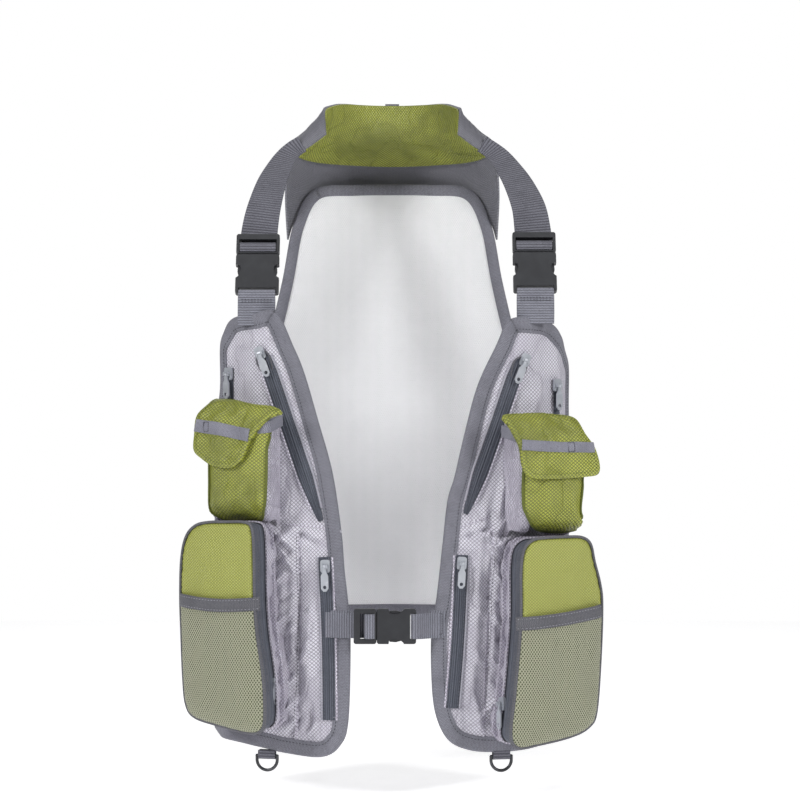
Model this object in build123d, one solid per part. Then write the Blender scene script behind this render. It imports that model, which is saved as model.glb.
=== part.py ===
from build123d import *
from math import hypot
import os

os.makedirs("parts", exist_ok=True)

# Two-panel fly-fishing vest in its worn shape.
# Millimetres, +Z up, -Y towards the wearer's front, +X towards the wearer's left.
# Origin: inner face of the collar at the middle of the back of the neck.
# Each side is drawn at positive X and the wearer's right side is mirrored.
# In a plan point the first number is the distance from the centre line and the
# second the distance forward.

# front panels
PANEL_PLAN = [(36, 207.9), (135, 187), (172, 158), (182, 118)]
PANEL_THICK = 4.0
BINDING_PROUD = 1.0
BINDING_WIDE = 15.0
TAPE_THICK = 1.2
PANEL_TOP = -216.0
PANEL_EDGE = [
    (116, PANEL_TOP),
    (103, -246),
    (88, -280),
    (74.5, -328),
    (62.5, -375),
    (52, -433),
    (45.5, -500),
    (41.5, -543),
    (44.5, -620),
    (55, -643),
    (75, -655),
    (105, -652),
    (137, -648),
    (190, -642),
    (190, -260),
    (172, -236),
    (158, PANEL_TOP),
]
OUTER_BINDING_START = 178.2

# zips: path on the panel as (distance out, height), top end first
TAPE_WIDE = 17.0
CHEST_ZIP = {"r": [(131.5, -253), (71, -419)], "l": [(133.5, -260), (75, -409)]}
SIDE_ZIP = {"r": [(163.5, -273.5), (163.5, -397)], "l": [(166, -285), (166, -409)]}
INNER_ZIP = {"r": [(65.5, -466), (62.5, -612)], "l": [(69.5, -463), (61, -600)]}
SIDE_TAPE_WIDE = 12.0
INNER_TAPE_WIDE = 15.0
TAPE_RUN_ON = 9.0

# zip slider and pull
SLIDER_LONG = 13.0
SLIDER_WIDE = 9.5
SLIDER_THICK = 3.0
SLIDER_GAP = 0.35
CHEEK_IN = 1.9
CHEEK_OUT = 3.3
CHEEK_LONG = 4.0
PIN_R = 0.95
PIN_UP = 5.4
EYE_BORE_R = 1.02
EYE_R = 1.75
EYE_WIDE = 3.2
PULL_LONG = 25.0
PULL_WIDE = 7.6
PULL_NECK = 3.2
PULL_THICK = 1.5
PULL_HOLE_R = 1.8

# upper pocket: plan corners, heights
POUCH_PLAN = {
    "r": [(111, 192.08), (122, 228), (184, 198), (148, 176.8), (135, 187)],
    "l": [(112, 191.88), (130, 227), (193, 196), (152, 173.68), (135, 187)],
}
POUCH_HIGH = {"r": -303.0, "l": -314.0}
POUCH_DEEP = 119.0
POUCH_BACK_DROP = 26.0
POUCH_FRONT_DROP = 33.0
CLOTH_WALL = 2.0

# flap: section as (forward of the pocket front, below the hinge)
FLAP_REAR = -28.0
FLAP_SECTION = [(FLAP_REAR, 0), (1.5, -19), (11, -66)]
FLAP_THICK = 2.4
FLAP_SPAN = (4.0, 77.0)

# lower pocket: plan corners, heights
TRAY_REST = [(173.5, 152), (172, 158), (135, 187)]
TRAY_PLAN = {
    "r": [(106, 193.1), (125, 226), (200, 188)] + TRAY_REST,
    "l": [(98, 194.8), (116, 226), (199, 188)] + TRAY_REST,
}
TRAY_ZIP_SHARE = 0.8
TRAY_TOP = {"r": -428.0, "l": -441.0}
TRAY_LOW_INNER = {"r": -632.0, "l": -646.0}
TRAY_LOW_OUTER = {"r": -613.0, "l": -628.0}
LID_THICK = 21.0
LID_WALL = 3.0
LID_GAP = 0.5
LID_CORNER = 16.0
MESH_TOP_DROP = 78.0
MESH_THICK = 3.5
TRAY_ZIP = {"r": (-577.0, -470.0), "l": (-601.0, -486.0)}
TRAY_TAPE_WIDE = 13.6

# D-ring under each panel
RING_X = {"r": 125.5, "l": 110.5}
RING_BAR_Z = -657.5
RING_WIRE_R = 1.6
RING_HALF = 10.5
RING_DROP = 4.0
TAB_HALF = 8.5
TAB_HIGH = 4.8
TAB_R = 2.6
TAB_BORE_R = 1.68

# side-release buckles
BUCKLE_THICK = 8.0
MALE_LONG = 22.6
CHEST_SOCKET_LONG = 39.0
SHOULDER_SOCKET_LONG = 44.0
FRONT_WALL = 1.8
SIDE_WALL = 3.0
KNUCKLE_R = 2.0
KNUCKLE_BORE_R = 2.06
KNUCKLE_AT = -6.5
BLOCK_DEEP = 9.0
BLOCK_PLAY = 0.6
BLOCK_THICK = 3.8
PRONG_IN = 9.0
CHEST_WIDE = 35.0
CHEST_WEB = 25.4
SHOULDER_WIDE = 44.0
SHOULDER_WEB = 38.0
WEB_THICK = 1.8
CHEST_AT = (-14.5, -218.0, -524.5)
SHOULDER_AT = {"r": (136.0, -160.2, -153.0), "l": (145.0, -160.0, -151.0)}
SHOULDER_UP = (0.0, 0.397, 0.9178)
SHOULDER_OUT = (0.0, -0.9178, 0.397)

# collar, yoke and back
NECK_AXIS_Y = -72.0
COLLAR_SECTION = [(72, -16), (72, 18), (77, 18), (77, -12), (118, -36), (116, -41)]
BACK_PLAN = [(-150, 12), (-105, 34), (0, 46), (105, 34), (150, 12)]
BACK_EDGE = [
    (-96, -44),
    (-112, -90),
    (-120, -170),
    (-138, -250),
    (-148, -300),
    (-148, -510),
    (-110, -536),
    (110, -536),
    (148, -510),
    (148, -300),
    (138, -250),
    (120, -170),
    (112, -90),
    (96, -44),
]
BACK_THICK = 4.0
BACK_POCKET = (210.0, 24.0, 150.0)
BACK_POCKET_AT = (0.0, 48.5, -390.0)
SIDE_STRAP_Z = -470.0


def offset_line(points, d):
    # moves an open line sideways by d, keeping its corners sharp
    normals = []
    for (ax, ay), (bx, by) in zip(points, points[1:]):
        long = hypot(bx - ax, by - ay)
        normals.append(((ay - by) / long, (bx - ax) / long))
    moved = []
    for i, (x, y) in enumerate(points):
        n0 = normals[max(i - 1, 0)]
        n1 = normals[min(i, len(normals) - 1)]
        share = 1 + n0[0] * n1[0] + n0[1] * n1[1]
        moved.append((x + d * (n0[0] + n1[0]) / share, y + d * (n0[1] + n1[1]) / share))
    return moved


def offset_loop(points, d):
    # the same for a closed outline
    closed = points[-1:] + points + points[:1]
    return offset_line(closed, d)[1:-1]


def plan_prism(points, low, high):
    # plan points swept upwards
    face = Polygon(*[(x, -f) for x, f in points], align=None)
    return Pos(0, 0, low) * extrude(face, high - low, dir=(0, 0, 1))


def front_prism(points, near=400.0, far=-200.0):
    # outline in the front view swept through the whole depth
    plane = Plane(origin=(0, -far, 0), x_dir=(1, 0, 0), z_dir=(0, -1, 0))
    return extrude(plane * Polygon(*points, align=None), near - far, dir=(0, -1, 0))


def slab(low_offset, high_offset, low=-700.0, high=-200.0, plan=PANEL_PLAN):
    # layer of the front panel between two distances from its outer face
    inner = offset_line(plan, low_offset)
    outer = offset_line(plan, high_offset)
    return plan_prism(inner + outer[::-1], low, high)


def panel_point(x, z, out=0.0):
    # point on the front panel's outer face, and the outward direction there
    for (ax, af), (bx, bf) in zip(PANEL_PLAN, PANEL_PLAN[1:]):
        if ax <= x <= bx:
            break
    long = hypot(bx - ax, bf - af)
    n = Vector((af - bf) / long, -(bx - ax) / long, 0)
    f = af + (bf - af) * (x - ax) / (bx - ax)
    return Vector(x, -f, z) + n * out, n


def plan_frame(a, b):
    # start point, direction along, outward direction of a plan edge
    long = hypot(b[0] - a[0], b[1] - a[1])
    u = Vector((b[0] - a[0]) / long, -(b[1] - a[1]) / long, 0)
    n = Vector(-(b[1] - a[1]) / long, -(b[0] - a[0]) / long, 0)
    return Vector(a[0], -a[1], 0), u, n, long


def section_prism(start, u, n, points, span):
    # section in the forward-and-up plane swept along u
    plane = Plane(origin=start + u * span[0], x_dir=n, z_dir=u * -1)
    return extrude(plane * Polygon(*points, align=None), span[1] - span[0], dir=u)


def face_prism(start, u, n, points, deep):
    # outline drawn on a pocket's front, swept outwards between two distances
    plane = Plane(origin=start + n * deep[0], x_dir=u, z_dir=n)
    return extrude(plane * Polygon(*points, align=None), deep[1] - deep[0], dir=n)


def strip(a, b, wide, run_on):
    # rectangle along a line in the front view
    long = hypot(b[0] - a[0], b[1] - a[1])
    ux, uz = (b[0] - a[0]) / long, (b[1] - a[1]) / long
    vx, vz = -uz * wide / 2, ux * wide / 2
    ax, az = a[0] - ux * run_on, a[1] - uz * run_on
    bx, bz = b[0] + ux * run_on, b[1] + uz * run_on
    return [(ax + vx, az + vz), (bx + vx, bz + vz), (bx - vx, bz - vz), (ax - vx, az - vz)]


def zip_path(name, side):
    # where a slider sits at rest, the way it travels, its outward direction and travel
    if name == "pocket":
        start, u, n, long = plan_frame(*TRAY_PLAN[side][0:2])
        low, high = TRAY_ZIP[side]
        at = start + u * (long * TRAY_ZIP_SHARE) + n * TAPE_THICK + Vector(0, 0, low)
        return at, Vector(0, 0, 1), n, high - low
    a, b = {"chest": CHEST_ZIP, "side": SIDE_ZIP, "inner": INNER_ZIP}[name][side]
    p, n = panel_point(*a, out=TAPE_THICK)
    q, n = panel_point(*b, out=TAPE_THICK)
    way = q - p
    return p, way.normalized(), n, way.length


def hang_frame(at, way, n):
    # x is the hanging direction along the zip, z points out of the face
    down = way if way.Z < 0 else way * -1
    return Plane(origin=at, x_dir=down, z_dir=n)


def slider_and_pull(at, way, n):
    run = Plane(origin=at, x_dir=way, z_dir=n)
    body_z = SLIDER_GAP + SLIDER_THICK / 2
    body = Pos(0, 0, body_z) * Box(SLIDER_LONG, SLIDER_WIDE, SLIDER_THICK)
    body = fillet(body.edges().filter_by(Axis.Z), 2.6)
    body = run.location * body
    hang = hang_frame(at, way, n)
    cheek_z = SLIDER_GAP + SLIDER_THICK - 0.2
    cheek_high = PIN_UP + PIN_R + 0.5 - cheek_z
    bridge = []
    for s in (-1, 1):
        mid = s * (CHEEK_IN + CHEEK_OUT) / 2
        cheek = Box(CHEEK_LONG, CHEEK_OUT - CHEEK_IN, cheek_high)
        bridge.append(Pos(0, mid, cheek_z + cheek_high / 2) * cheek)
    pin = Pos(0, 0, PIN_UP) * Rot(90, 0, 0) * Cylinder(PIN_R, 2 * CHEEK_OUT - 0.4)
    slider = body + hang.location * (pin + bridge)
    outline = Polygon(
        (0.6, -PULL_NECK / 2),
        (5.0, -PULL_NECK / 2),
        (9.5, -PULL_WIDE / 2),
        (PULL_LONG - 3, -PULL_WIDE / 2),
        (PULL_LONG, -PULL_WIDE / 2 + 2.4),
        (PULL_LONG, PULL_WIDE / 2 - 2.4),
        (PULL_LONG - 3, PULL_WIDE / 2),
        (9.5, PULL_WIDE / 2),
        (5.0, PULL_NECK / 2),
        (0.6, PULL_NECK / 2),
        align=None,
    )
    plate = Pos(0, 0, PIN_UP - PULL_THICK / 2) * extrude(outline, PULL_THICK, dir=(0, 0, 1))
    eye = Pos(0, 0, PIN_UP) * Rot(90, 0, 0) * Cylinder(EYE_R, EYE_WIDE)
    bore = Pos(0, 0, PIN_UP) * Rot(90, 0, 0) * Cylinder(EYE_BORE_R, EYE_WIDE + 2)
    hole = Pos(PULL_LONG - 4.2, 0, PIN_UP) * Cylinder(PULL_HOLE_R, PULL_THICK * 3)
    pull = plate + eye - bore - hole
    return slider, hang.location * pull


def pouch(side):
    high = POUCH_HIGH[side]
    low = high - POUCH_DEEP
    plan = POUCH_PLAN[side]
    shell = plan_prism(plan, low, high)
    inside = plan_prism(offset_loop(plan, -CLOTH_WALL), low + CLOTH_WALL, high + 1)
    start, u, n, long = plan_frame(*plan[1:3])
    above = [
        (-60, high + 40),
        (-60, high - POUCH_BACK_DROP),
        (-35, high - POUCH_BACK_DROP),
        (0, high - POUCH_FRONT_DROP),
        (40, high - POUCH_FRONT_DROP),
        (40, high + 40),
    ]
    return shell - inside - section_prism(start, u, n, above, (-60, long + 60))


def flap(side):
    high = POUCH_HIGH[side]
    start, u, n, long = plan_frame(*POUCH_PLAN[side][1:3])
    lower = [(f, high + z) for f, z in FLAP_SECTION]
    upper = offset_line(lower, -FLAP_THICK)
    if upper[1][0] < lower[1][0]:
        upper = offset_line(lower, FLAP_THICK)
    return section_prism(start, u, n, lower + upper[::-1], FLAP_SPAN)


def tray(side):
    top = TRAY_TOP[side]
    low = TRAY_LOW_INNER[side]
    plan = TRAY_PLAN[side]
    shell = plan_prism(plan, low, top)
    start, u, n, long = plan_frame(*plan[1:3])
    inner = [
        plan[0],
        (plan[1][0] + 9, plan[1][1] + 18),
        (plan[2][0] + 9, plan[2][1] + 18),
    ] + plan[3:]
    inside = plan_prism(offset_loop(inner, -CLOTH_WALL), low + CLOTH_WALL + 1, top - CLOTH_WALL)
    under = [
        (-5, low - 30),
        (-5, low),
        (long, TRAY_LOW_OUTER[side]),
        (long + 90, TRAY_LOW_OUTER[side] + 22),
        (long + 90, low - 30),
    ]
    body = shell - inside
    floor = face_prism(start, u, n, under, (-90, 60))
    sole_points = [
        (-40, low - 10),
        (-40, low - 10 + CLOTH_WALL),
        (-5, low + CLOTH_WALL),
        (long, TRAY_LOW_OUTER[side] + CLOTH_WALL),
        (long + 90, TRAY_LOW_OUTER[side] + 22 + CLOTH_WALL),
        (long + 90, TRAY_LOW_OUTER[side] + 22),
        (long, TRAY_LOW_OUTER[side]),
        (-5, low),
    ]
    sole = face_prism(start, u, n, sole_points, (-90, 60)) & shell
    return (body + sole) - floor


def lid_outline(side, inset=0.0):
    top = TRAY_TOP[side] - inset
    start, u, n, long = plan_frame(*TRAY_PLAN[side][1:3])
    u0, u1 = inset, long - inset
    c = LID_CORNER
    return [
        (u0, TRAY_LOW_INNER[side] + inset),
        (u0, top - c),
        (u0 + c * 0.3, top - c * 0.3),
        (u0 + c, top),
        (u1 - c, top),
        (u1 - c * 0.3, top - c * 0.3),
        (u1, top - c),
        (u1, TRAY_LOW_OUTER[side] + inset),
    ]


def lid(side):
    start, u, n, long = plan_frame(*TRAY_PLAN[side][1:3])
    outer = face_prism(start, u, n, lid_outline(side), (LID_GAP, LID_GAP + LID_THICK))
    hollow = lid_outline(side, LID_WALL)
    inside = face_prism(start, u, n, hollow, (LID_GAP - 1, LID_GAP + LID_THICK - LID_WALL))
    return outer - inside


def mesh_pocket(side):
    start, u, n, long = plan_frame(*TRAY_PLAN[side][1:3])
    top = TRAY_TOP[side] - MESH_TOP_DROP
    points = [
        (0.5, TRAY_LOW_INNER[side] + 3),
        (0.5, top - 8),
        (long - 0.5, top + 6),
        (long - 0.5, TRAY_LOW_OUTER[side] + 3),
    ]
    front = LID_GAP + LID_THICK
    return face_prism(start, u, n, points, (front, front + MESH_THICK))


def tapes(side):
    field = front_prism(offset_loop(PANEL_EDGE, -BINDING_WIDE))
    if field.bounding_box().size.X > 160:
        field = front_prism(offset_loop(PANEL_EDGE, BINDING_WIDE))
    layer = slab(0, TAPE_THICK)
    kept = []
    for path, wide in ((CHEST_ZIP, TAPE_WIDE), (SIDE_ZIP, SIDE_TAPE_WIDE), (INNER_ZIP, INNER_TAPE_WIDE)):
        kept.append(layer & front_prism(strip(*path[side], wide, TAPE_RUN_ON)) & field)
    start, u, n, long = plan_frame(*TRAY_PLAN[side][0:2])
    middle = long * TRAY_ZIP_SHARE
    half = TRAY_TAPE_WIDE / 2
    points = [
        (middle - half, TRAY_LOW_INNER[side] + 22),
        (middle - half, TRAY_TOP[side] - 4),
        (middle + half, TRAY_TOP[side] - 4),
        (middle + half, TRAY_LOW_INNER[side] + 22),
    ]
    kept.append(face_prism(start, u, n, points, (0, TAPE_THICK)))
    solids = []
    for k in kept:
        solids += list(k.solids())
    return Compound(solids)


def panel_and_binding():
    whole = front_prism(PANEL_EDGE)
    field = offset_loop(PANEL_EDGE, -BINDING_WIDE)
    if max(x for x, z in field) > max(x for x, z in PANEL_EDGE):
        field = offset_loop(PANEL_EDGE, BINDING_WIDE)
    field = [(min(x, OUTER_BINDING_START), z) for x, z in field]
    field = front_prism(field)
    panel = slab(-PANEL_THICK, 0) & field
    binding = (slab(-PANEL_THICK, BINDING_PROUD) & whole) - field
    return panel, binding


def ring_and_tab(side):
    at, n = panel_point(RING_X[side], RING_BAR_Z, out=-PANEL_THICK / 2)
    level = Vector(-n.Y, n.X, 0)
    place = Plane(origin=at, x_dir=level, z_dir=n).location
    # local x along the bar, y up, z out of the panel
    bar = Rot(0, 90, 0) * Cylinder(RING_WIRE_R, 2 * RING_HALF)
    ring = bar
    for s in (-1, 1):
        leg = Rot(90, 0, 0) * Cylinder(RING_WIRE_R, RING_DROP)
        ring = ring + Pos(s * RING_HALF, -RING_DROP / 2, 0) * leg
        ring = ring + Pos(s * RING_HALF, 0, 0) * Sphere(RING_WIRE_R)
    bow = Torus(RING_HALF, RING_WIRE_R)
    bow = bow - Pos(0, 20, 0) * Box(60, 40, 20)
    ring = ring + Pos(0, -RING_DROP, 0) * bow
    tab = Pos(0, TAB_HIGH / 2, 0) * Box(2 * TAB_HALF, TAB_HIGH, 2 * TAB_R)
    tab = tab + Rot(0, 90, 0) * Cylinder(TAB_R, 2 * TAB_HALF)
    tab = tab - Rot(0, 90, 0) * Cylinder(TAB_BORE_R, 4 * TAB_HALF)
    return place * ring, place * tab


def female_half(wide, web, long):
    body = Pos(-long / 2, 0, 0) * Box(long, wide, BUCKLE_THICK)
    body = fillet(body.edges().filter_by(Axis.Z), 2.5)
    body = fillet(body.edges().filter_by(GeomType.LINE).filter_by(Axis.X), 1.2)
    deep = long - 6.6
    cavity_high = BUCKLE_THICK - 2 * FRONT_WALL
    cavity = Pos(-deep / 2 + 0.5, 0, 0) * Box(deep + 1, wide - 2 * SIDE_WALL, cavity_high)
    body = body - cavity
    body = body - Pos(-long + 4.2, 0, 0) * Box(3.4, web, BUCKLE_THICK * 2)
    notch = Polygon(
        (-27.0, 0.1),
        (-26.0, -1.8),
        (-22.5, -4.4),
        (-17.0, -5.4),
        (-13.5, -4.6),
        (-12.2, -3.2),
        (-11.6, 0.1),
        align=None,
    )
    for s in (-1, 1):
        cut = extrude(notch, BUCKLE_THICK * 2, dir=(0, 0, 1))
        cut = Pos(0, wide / 2, -BUCKLE_THICK) * cut
        if s < 0:
            cut = mirror(cut, about=Plane.XZ)
        body = body - cut
    return body


def male_half(wide, web):
    body = Pos(MALE_LONG / 2 + 0.4, 0, 0) * Box(MALE_LONG, wide, BUCKLE_THICK)
    body = fillet(body.edges().filter_by(Axis.Z), 2.5)
    body = fillet(body.edges().filter_by(GeomType.LINE).filter_by(Axis.X), 1.2)
    for low, high in ((2.0, 4.6), (10.5, 16.5)):
        body = body - Pos((low + high) / 2, 0, 0) * Box(high - low, web, BUCKLE_THICK * 2)
    block_wide = wide - 2 * SIDE_WALL - 2 * BLOCK_PLAY
    block = Pos(-BLOCK_DEEP / 2 + 0.5, 0, 0) * Box(BLOCK_DEEP + 1, block_wide, BLOCK_THICK)
    tongue = Pos(-12.0, 0, 0) * Box(8.0, 6.0, 3.0)
    body = body + block + tongue
    knuckle_y = wide / 2 - PRONG_IN
    for s in (-1, 1):
        bore = Pos(KNUCKLE_AT, s * knuckle_y, 0) * Cylinder(KNUCKLE_BORE_R, BLOCK_THICK + 1)
        gate_x = (KNUCKLE_AT - BLOCK_DEEP - 1) / 2
        gate = Pos(gate_x, s * knuckle_y, 0) * Box(BLOCK_DEEP + 1 + KNUCKLE_AT, 4.0, BLOCK_THICK + 1)
        body = body - bore - gate
    return body


def prong(wide, s):
    y = wide / 2 - PRONG_IN
    blade = Polygon(
        (KNUCKLE_AT, y - 1.3),
        (-30.0, y - 1.0),
        (-31.2, y + 0.6),
        (-30.0, y + 3.2),
        (-25.0, y + 5.6),
        (-19.0, y + 7.2),
        (-12.6, y + 6.8),
        (-12.6, y + 4.4),
        (-10.5, y + 1.3),
        (KNUCKLE_AT, y + 1.3),
        align=None,
    )
    high = BUCKLE_THICK - 2 * FRONT_WALL - 0.8
    arm = Pos(0, 0, -high / 2) * extrude(blade, high, dir=(0, 0, 1))
    arm = arm + Pos(KNUCKLE_AT, y, 0) * Cylinder(KNUCKLE_R, high)
    if s < 0:
        arm = mirror(arm, about=Plane.XZ)
    return arm


def shoulder_frame(side):
    x, y, z = SHOULDER_AT[side]
    return Plane(origin=(x, y, z), x_dir=SHOULDER_UP, z_dir=SHOULDER_OUT)


def chest_frame():
    return Plane(origin=CHEST_AT, x_dir=(-1, 0, 0), z_dir=(0, -1, 0))


def shoulder_strap(side):
    # straight behind the buckle, then bending over the shoulder to the yoke
    x, y, z = SHOULDER_AT[side]
    half = SHOULDER_WEB / 2
    behind = BUCKLE_THICK / 2 + 2.0
    rows = []
    ux, uy, uz = SHOULDER_UP
    ox, oy, oz = SHOULDER_OUT
    for along, back, inward in ((-8, behind, 0), (63, behind, 2), (84, 9, 9)):
        middle = (x - inward, y + uy * along - oy * back, z + uz * along - oz * back)
        rows.append((middle, (0.0, oy, oz)))
    rows.append(((113.0, -80.0, -49.0), (0.25, -0.55, 0.8)))
    rows.append(((108.0, -66.0, -37.0), (0.4, -0.35, 0.85)))
    faces = []
    for i, (middle, out) in enumerate(rows):
        a = Vector(*rows[max(i - 1, 0)][0])
        b = Vector(*rows[min(i + 1, len(rows) - 1)][0])
        way = (b - a).normalized()
        flat = Plane(origin=middle, x_dir=way.cross(Vector(*out)), z_dir=way)
        wide = 2 * half if i < 3 else 2 * half - 6
        faces.append(flat * Rectangle(wide, WEB_THICK + 0.4))
    return loft(faces, ruled=True)


def collar():
    section = Plane.XZ * Polygon(*COLLAR_SECTION, align=None)
    section = Pos(0, NECK_AXIS_Y, 0) * section
    turn = Axis((0, NECK_AXIS_Y, 0), (0, 0, 1))
    body = revolve(section, turn, 360)
    front = Pos(0, NECK_AXIS_Y - 100 + 12, 0) * Box(400, 200, 200)
    return body - front


def back_panel():
    inner = [(x, -y) for x, y in BACK_PLAN]
    outer = [(x, -y) for x, y in offset_line(BACK_PLAN, BACK_THICK)]
    body = plan_prism(inner + outer[::-1], -560, -40)
    return body & front_prism(BACK_EDGE)


def back_pocket():
    wide, deep, high = BACK_POCKET
    body = Pos(*BACK_POCKET_AT) * Pos(0, deep / 2, 0) * Box(wide, deep, high)
    lower = [(x, -y) for x, y in offset_line(BACK_PLAN, BACK_THICK)]
    cut = plan_prism(lower + [(166, 100), (-166, 100)], -560, -40)
    body = Pos(0, -14, 0) * body
    body = body - cut
    rear = body.faces().sort_by(Axis.Y)[-1]
    return fillet(rear.edges(), 6)


def side_strap():
    a = (183.3, 117.0)
    b = (153.0, -11.0)
    line = [a, (184.0, 55.0), b]
    return plan_prism(line + offset_line(line, WEB_THICK)[::-1], SIDE_STRAP_Z - 12.7, SIDE_STRAP_Z + 12.7)


def hang_loop():
    outer = Pos(0, 7.6, 6) * Box(16, 5, 34)
    inner = Pos(0, 7.6, 6) * Box(20, 2.0, 28)
    return outer - inner


def save(shape, name):
    export_step(shape, "parts/" + name + ".step")


def placed(shape, side):
    # the wearer's right side is the mirror image
    if side == "r":
        return mirror(shape, about=Plane.YZ)
    return shape


panel_shape, binding_shape = panel_and_binding()
for side in ("r", "l"):
    save(placed(panel_shape, side), "panel_" + side)
    save(placed(binding_shape, side), "binding_" + side)
    tape_shape = tapes(side)
    save(placed(pouch(side) - panel_shape - binding_shape - tape_shape, side), "upper_pocket_" + side)
    save(placed(flap(side), side), "flap_" + side)
    save(placed(tray(side) - panel_shape - binding_shape, side), "lower_pocket_" + side)
    save(placed(lid(side), side), "pocket_front_" + side)
    save(placed(mesh_pocket(side), side), "mesh_pocket_" + side)
    save(placed(tape_shape, side), "zip_tapes_" + side)
    for name in ("chest", "side", "inner", "pocket"):
        at, way, n, travel = zip_path(name, side)
        slider, pull = slider_and_pull(at, way, n)
        save(placed(slider, side), "slider_" + name + "_" + side)
        save(placed(pull, side), "pull_" + name + "_" + side)
    ring, tab = ring_and_tab(side)
    save(placed(ring, side), "ring_" + side)
    save(placed(tab, side), "ring_tab_" + side)
    here = shoulder_frame(side).location
    socket = here * female_half(SHOULDER_WIDE, SHOULDER_WEB, SHOULDER_SOCKET_LONG)
    save(placed(socket, side), "shoulder_socket_" + side)
    save(placed(here * male_half(SHOULDER_WIDE, SHOULDER_WEB), side), "shoulder_plug_" + side)
    save(placed(here * prong(SHOULDER_WIDE, 1), side), "shoulder_prong_a_" + side)
    save(placed(here * prong(SHOULDER_WIDE, -1), side), "shoulder_prong_b_" + side)
    web_long = 18.0
    web_mid = -SHOULDER_SOCKET_LONG - 0.4 - web_long / 2
    web = Pos(web_mid, 0, 0) * Box(web_long, SHOULDER_WEB, WEB_THICK)
    save(placed(here * web, side), "shoulder_web_" + side)
    save(placed(shoulder_strap(side), side), "shoulder_strap_" + side)
    save(placed(side_strap(), side), "side_strap_" + side)

here = chest_frame().location
save(here * female_half(CHEST_WIDE, CHEST_WEB, CHEST_SOCKET_LONG), "chest_socket")
save(here * male_half(CHEST_WIDE, CHEST_WEB), "chest_plug")
save(here * prong(CHEST_WIDE, 1), "chest_prong_a")
save(here * prong(CHEST_WIDE, -1), "chest_prong_b")
web_back = Pos(28.5, 0, -BUCKLE_THICK / 2 - 0.5 - WEB_THICK / 2)
save(here * (web_back * Box(36.0, CHEST_WEB, WEB_THICK)), "chest_web_r")
web_back = Pos(-CHEST_SOCKET_LONG - 0.4 - 10, 0, -BUCKLE_THICK / 2 - 0.5 - WEB_THICK / 2)
save(here * (web_back * Box(20.0, CHEST_WEB, WEB_THICK)), "chest_web_l")
save(collar(), "collar")
save(back_panel(), "back_panel")
save(back_pocket(), "back_pocket")
save(hang_loop(), "hang_loop")
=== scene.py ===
import math

import bmesh
import bpy
import numpy as np
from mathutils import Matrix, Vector, noise
from mathutils.geometry import delaunay_2d_cdt

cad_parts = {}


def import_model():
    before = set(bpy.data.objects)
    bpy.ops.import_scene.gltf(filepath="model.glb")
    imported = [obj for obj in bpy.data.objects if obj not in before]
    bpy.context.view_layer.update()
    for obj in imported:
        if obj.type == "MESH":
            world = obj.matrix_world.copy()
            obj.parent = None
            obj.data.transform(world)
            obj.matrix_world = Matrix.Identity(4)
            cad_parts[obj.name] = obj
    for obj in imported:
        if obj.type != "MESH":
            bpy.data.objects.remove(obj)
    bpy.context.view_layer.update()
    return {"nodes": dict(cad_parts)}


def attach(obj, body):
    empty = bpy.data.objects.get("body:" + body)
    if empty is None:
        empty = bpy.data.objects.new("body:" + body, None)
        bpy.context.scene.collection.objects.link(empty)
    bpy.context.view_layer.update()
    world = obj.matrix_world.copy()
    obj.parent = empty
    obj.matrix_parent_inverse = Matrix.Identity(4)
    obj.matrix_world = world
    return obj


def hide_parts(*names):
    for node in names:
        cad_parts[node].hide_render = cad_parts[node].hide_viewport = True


# Two-panel fly-fishing vest. Lengths below are millimetres on the object:
# a = out from the centre line, f = forward, z = up; metres only in the meshes.
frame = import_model()
MM = 0.001
VIEW_X, VIEW_F, VIEW_Z = 8.5, 2550.0, -300.0  # where the camera stands
PLANE_F = 200.0  # outlines are drawn flat on this upright plane, then carried back onto the cloth


# ---------------------------------------------------------------- lines
def spline(points, step, closed=False):
    # even points along a smooth line through the given ones
    p = np.array(points, float)
    n = len(p)
    if n == 2 and not closed:
        count = max(2, int(math.ceil(np.linalg.norm(p[1] - p[0]) / step)) + 1)
        t = np.linspace(0, 1, count)[:, None]
        return p[0] * (1 - t) + p[1] * t
    rows = []
    spans = n if closed else n - 1
    for i in range(spans):
        if closed:
            a, b, c, d = p[(i - 1) % n], p[i], p[(i + 1) % n], p[(i + 2) % n]
        else:
            a, b, c, d = p[max(i - 1, 0)], p[i], p[i + 1], p[min(i + 2, n - 1)]
        t = np.linspace(0, 1, 24, endpoint=False)[:, None]
        rows.append(
            0.5 * (2 * b + (c - a) * t + (2 * a - 5 * b + 4 * c - d) * t**2
                   + (3 * b - a - 3 * c + d) * t**3)
        )
    fine = np.vstack(rows + ([p[:1]] if closed else [p[-1:]]))
    length = run_length(fine)
    count = max(3, int(round(length[-1] / step)) + 1)
    want = np.linspace(0, length[-1], count)
    out = np.stack([np.interp(want, length, fine[:, k]) for k in range(p.shape[1])], 1)
    return out[:-1] if closed else out


def eased(points, r=5.0, step=1.0, closed=True):
    # straight runs with rounded corners
    p = np.array(points, float)
    n = len(p)
    rows = []
    for i in range(n if closed else n - 1):
        a, b = p[i], p[(i + 1) % n]
        count = max(2, int(np.linalg.norm(b - a) / step))
        t = np.linspace(0, 1, count, endpoint=False)[:, None]
        rows.append(a * (1 - t) + b * t)
    if not closed:
        rows.append(p[-1:])
    q = np.vstack(rows)
    k = max(1, int(r / step))
    if closed:
        return sum(np.roll(q, j, axis=0) for j in range(-k, k + 1)) / (2 * k + 1)
    pad = np.vstack([2 * q[0] - q[k:0:-1], q, 2 * q[-1] - q[-2 : -k - 2 : -1]])
    return sum(pad[k + j : k + j + len(q)] for j in range(-k, k + 1)) / (2 * k + 1)


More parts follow.
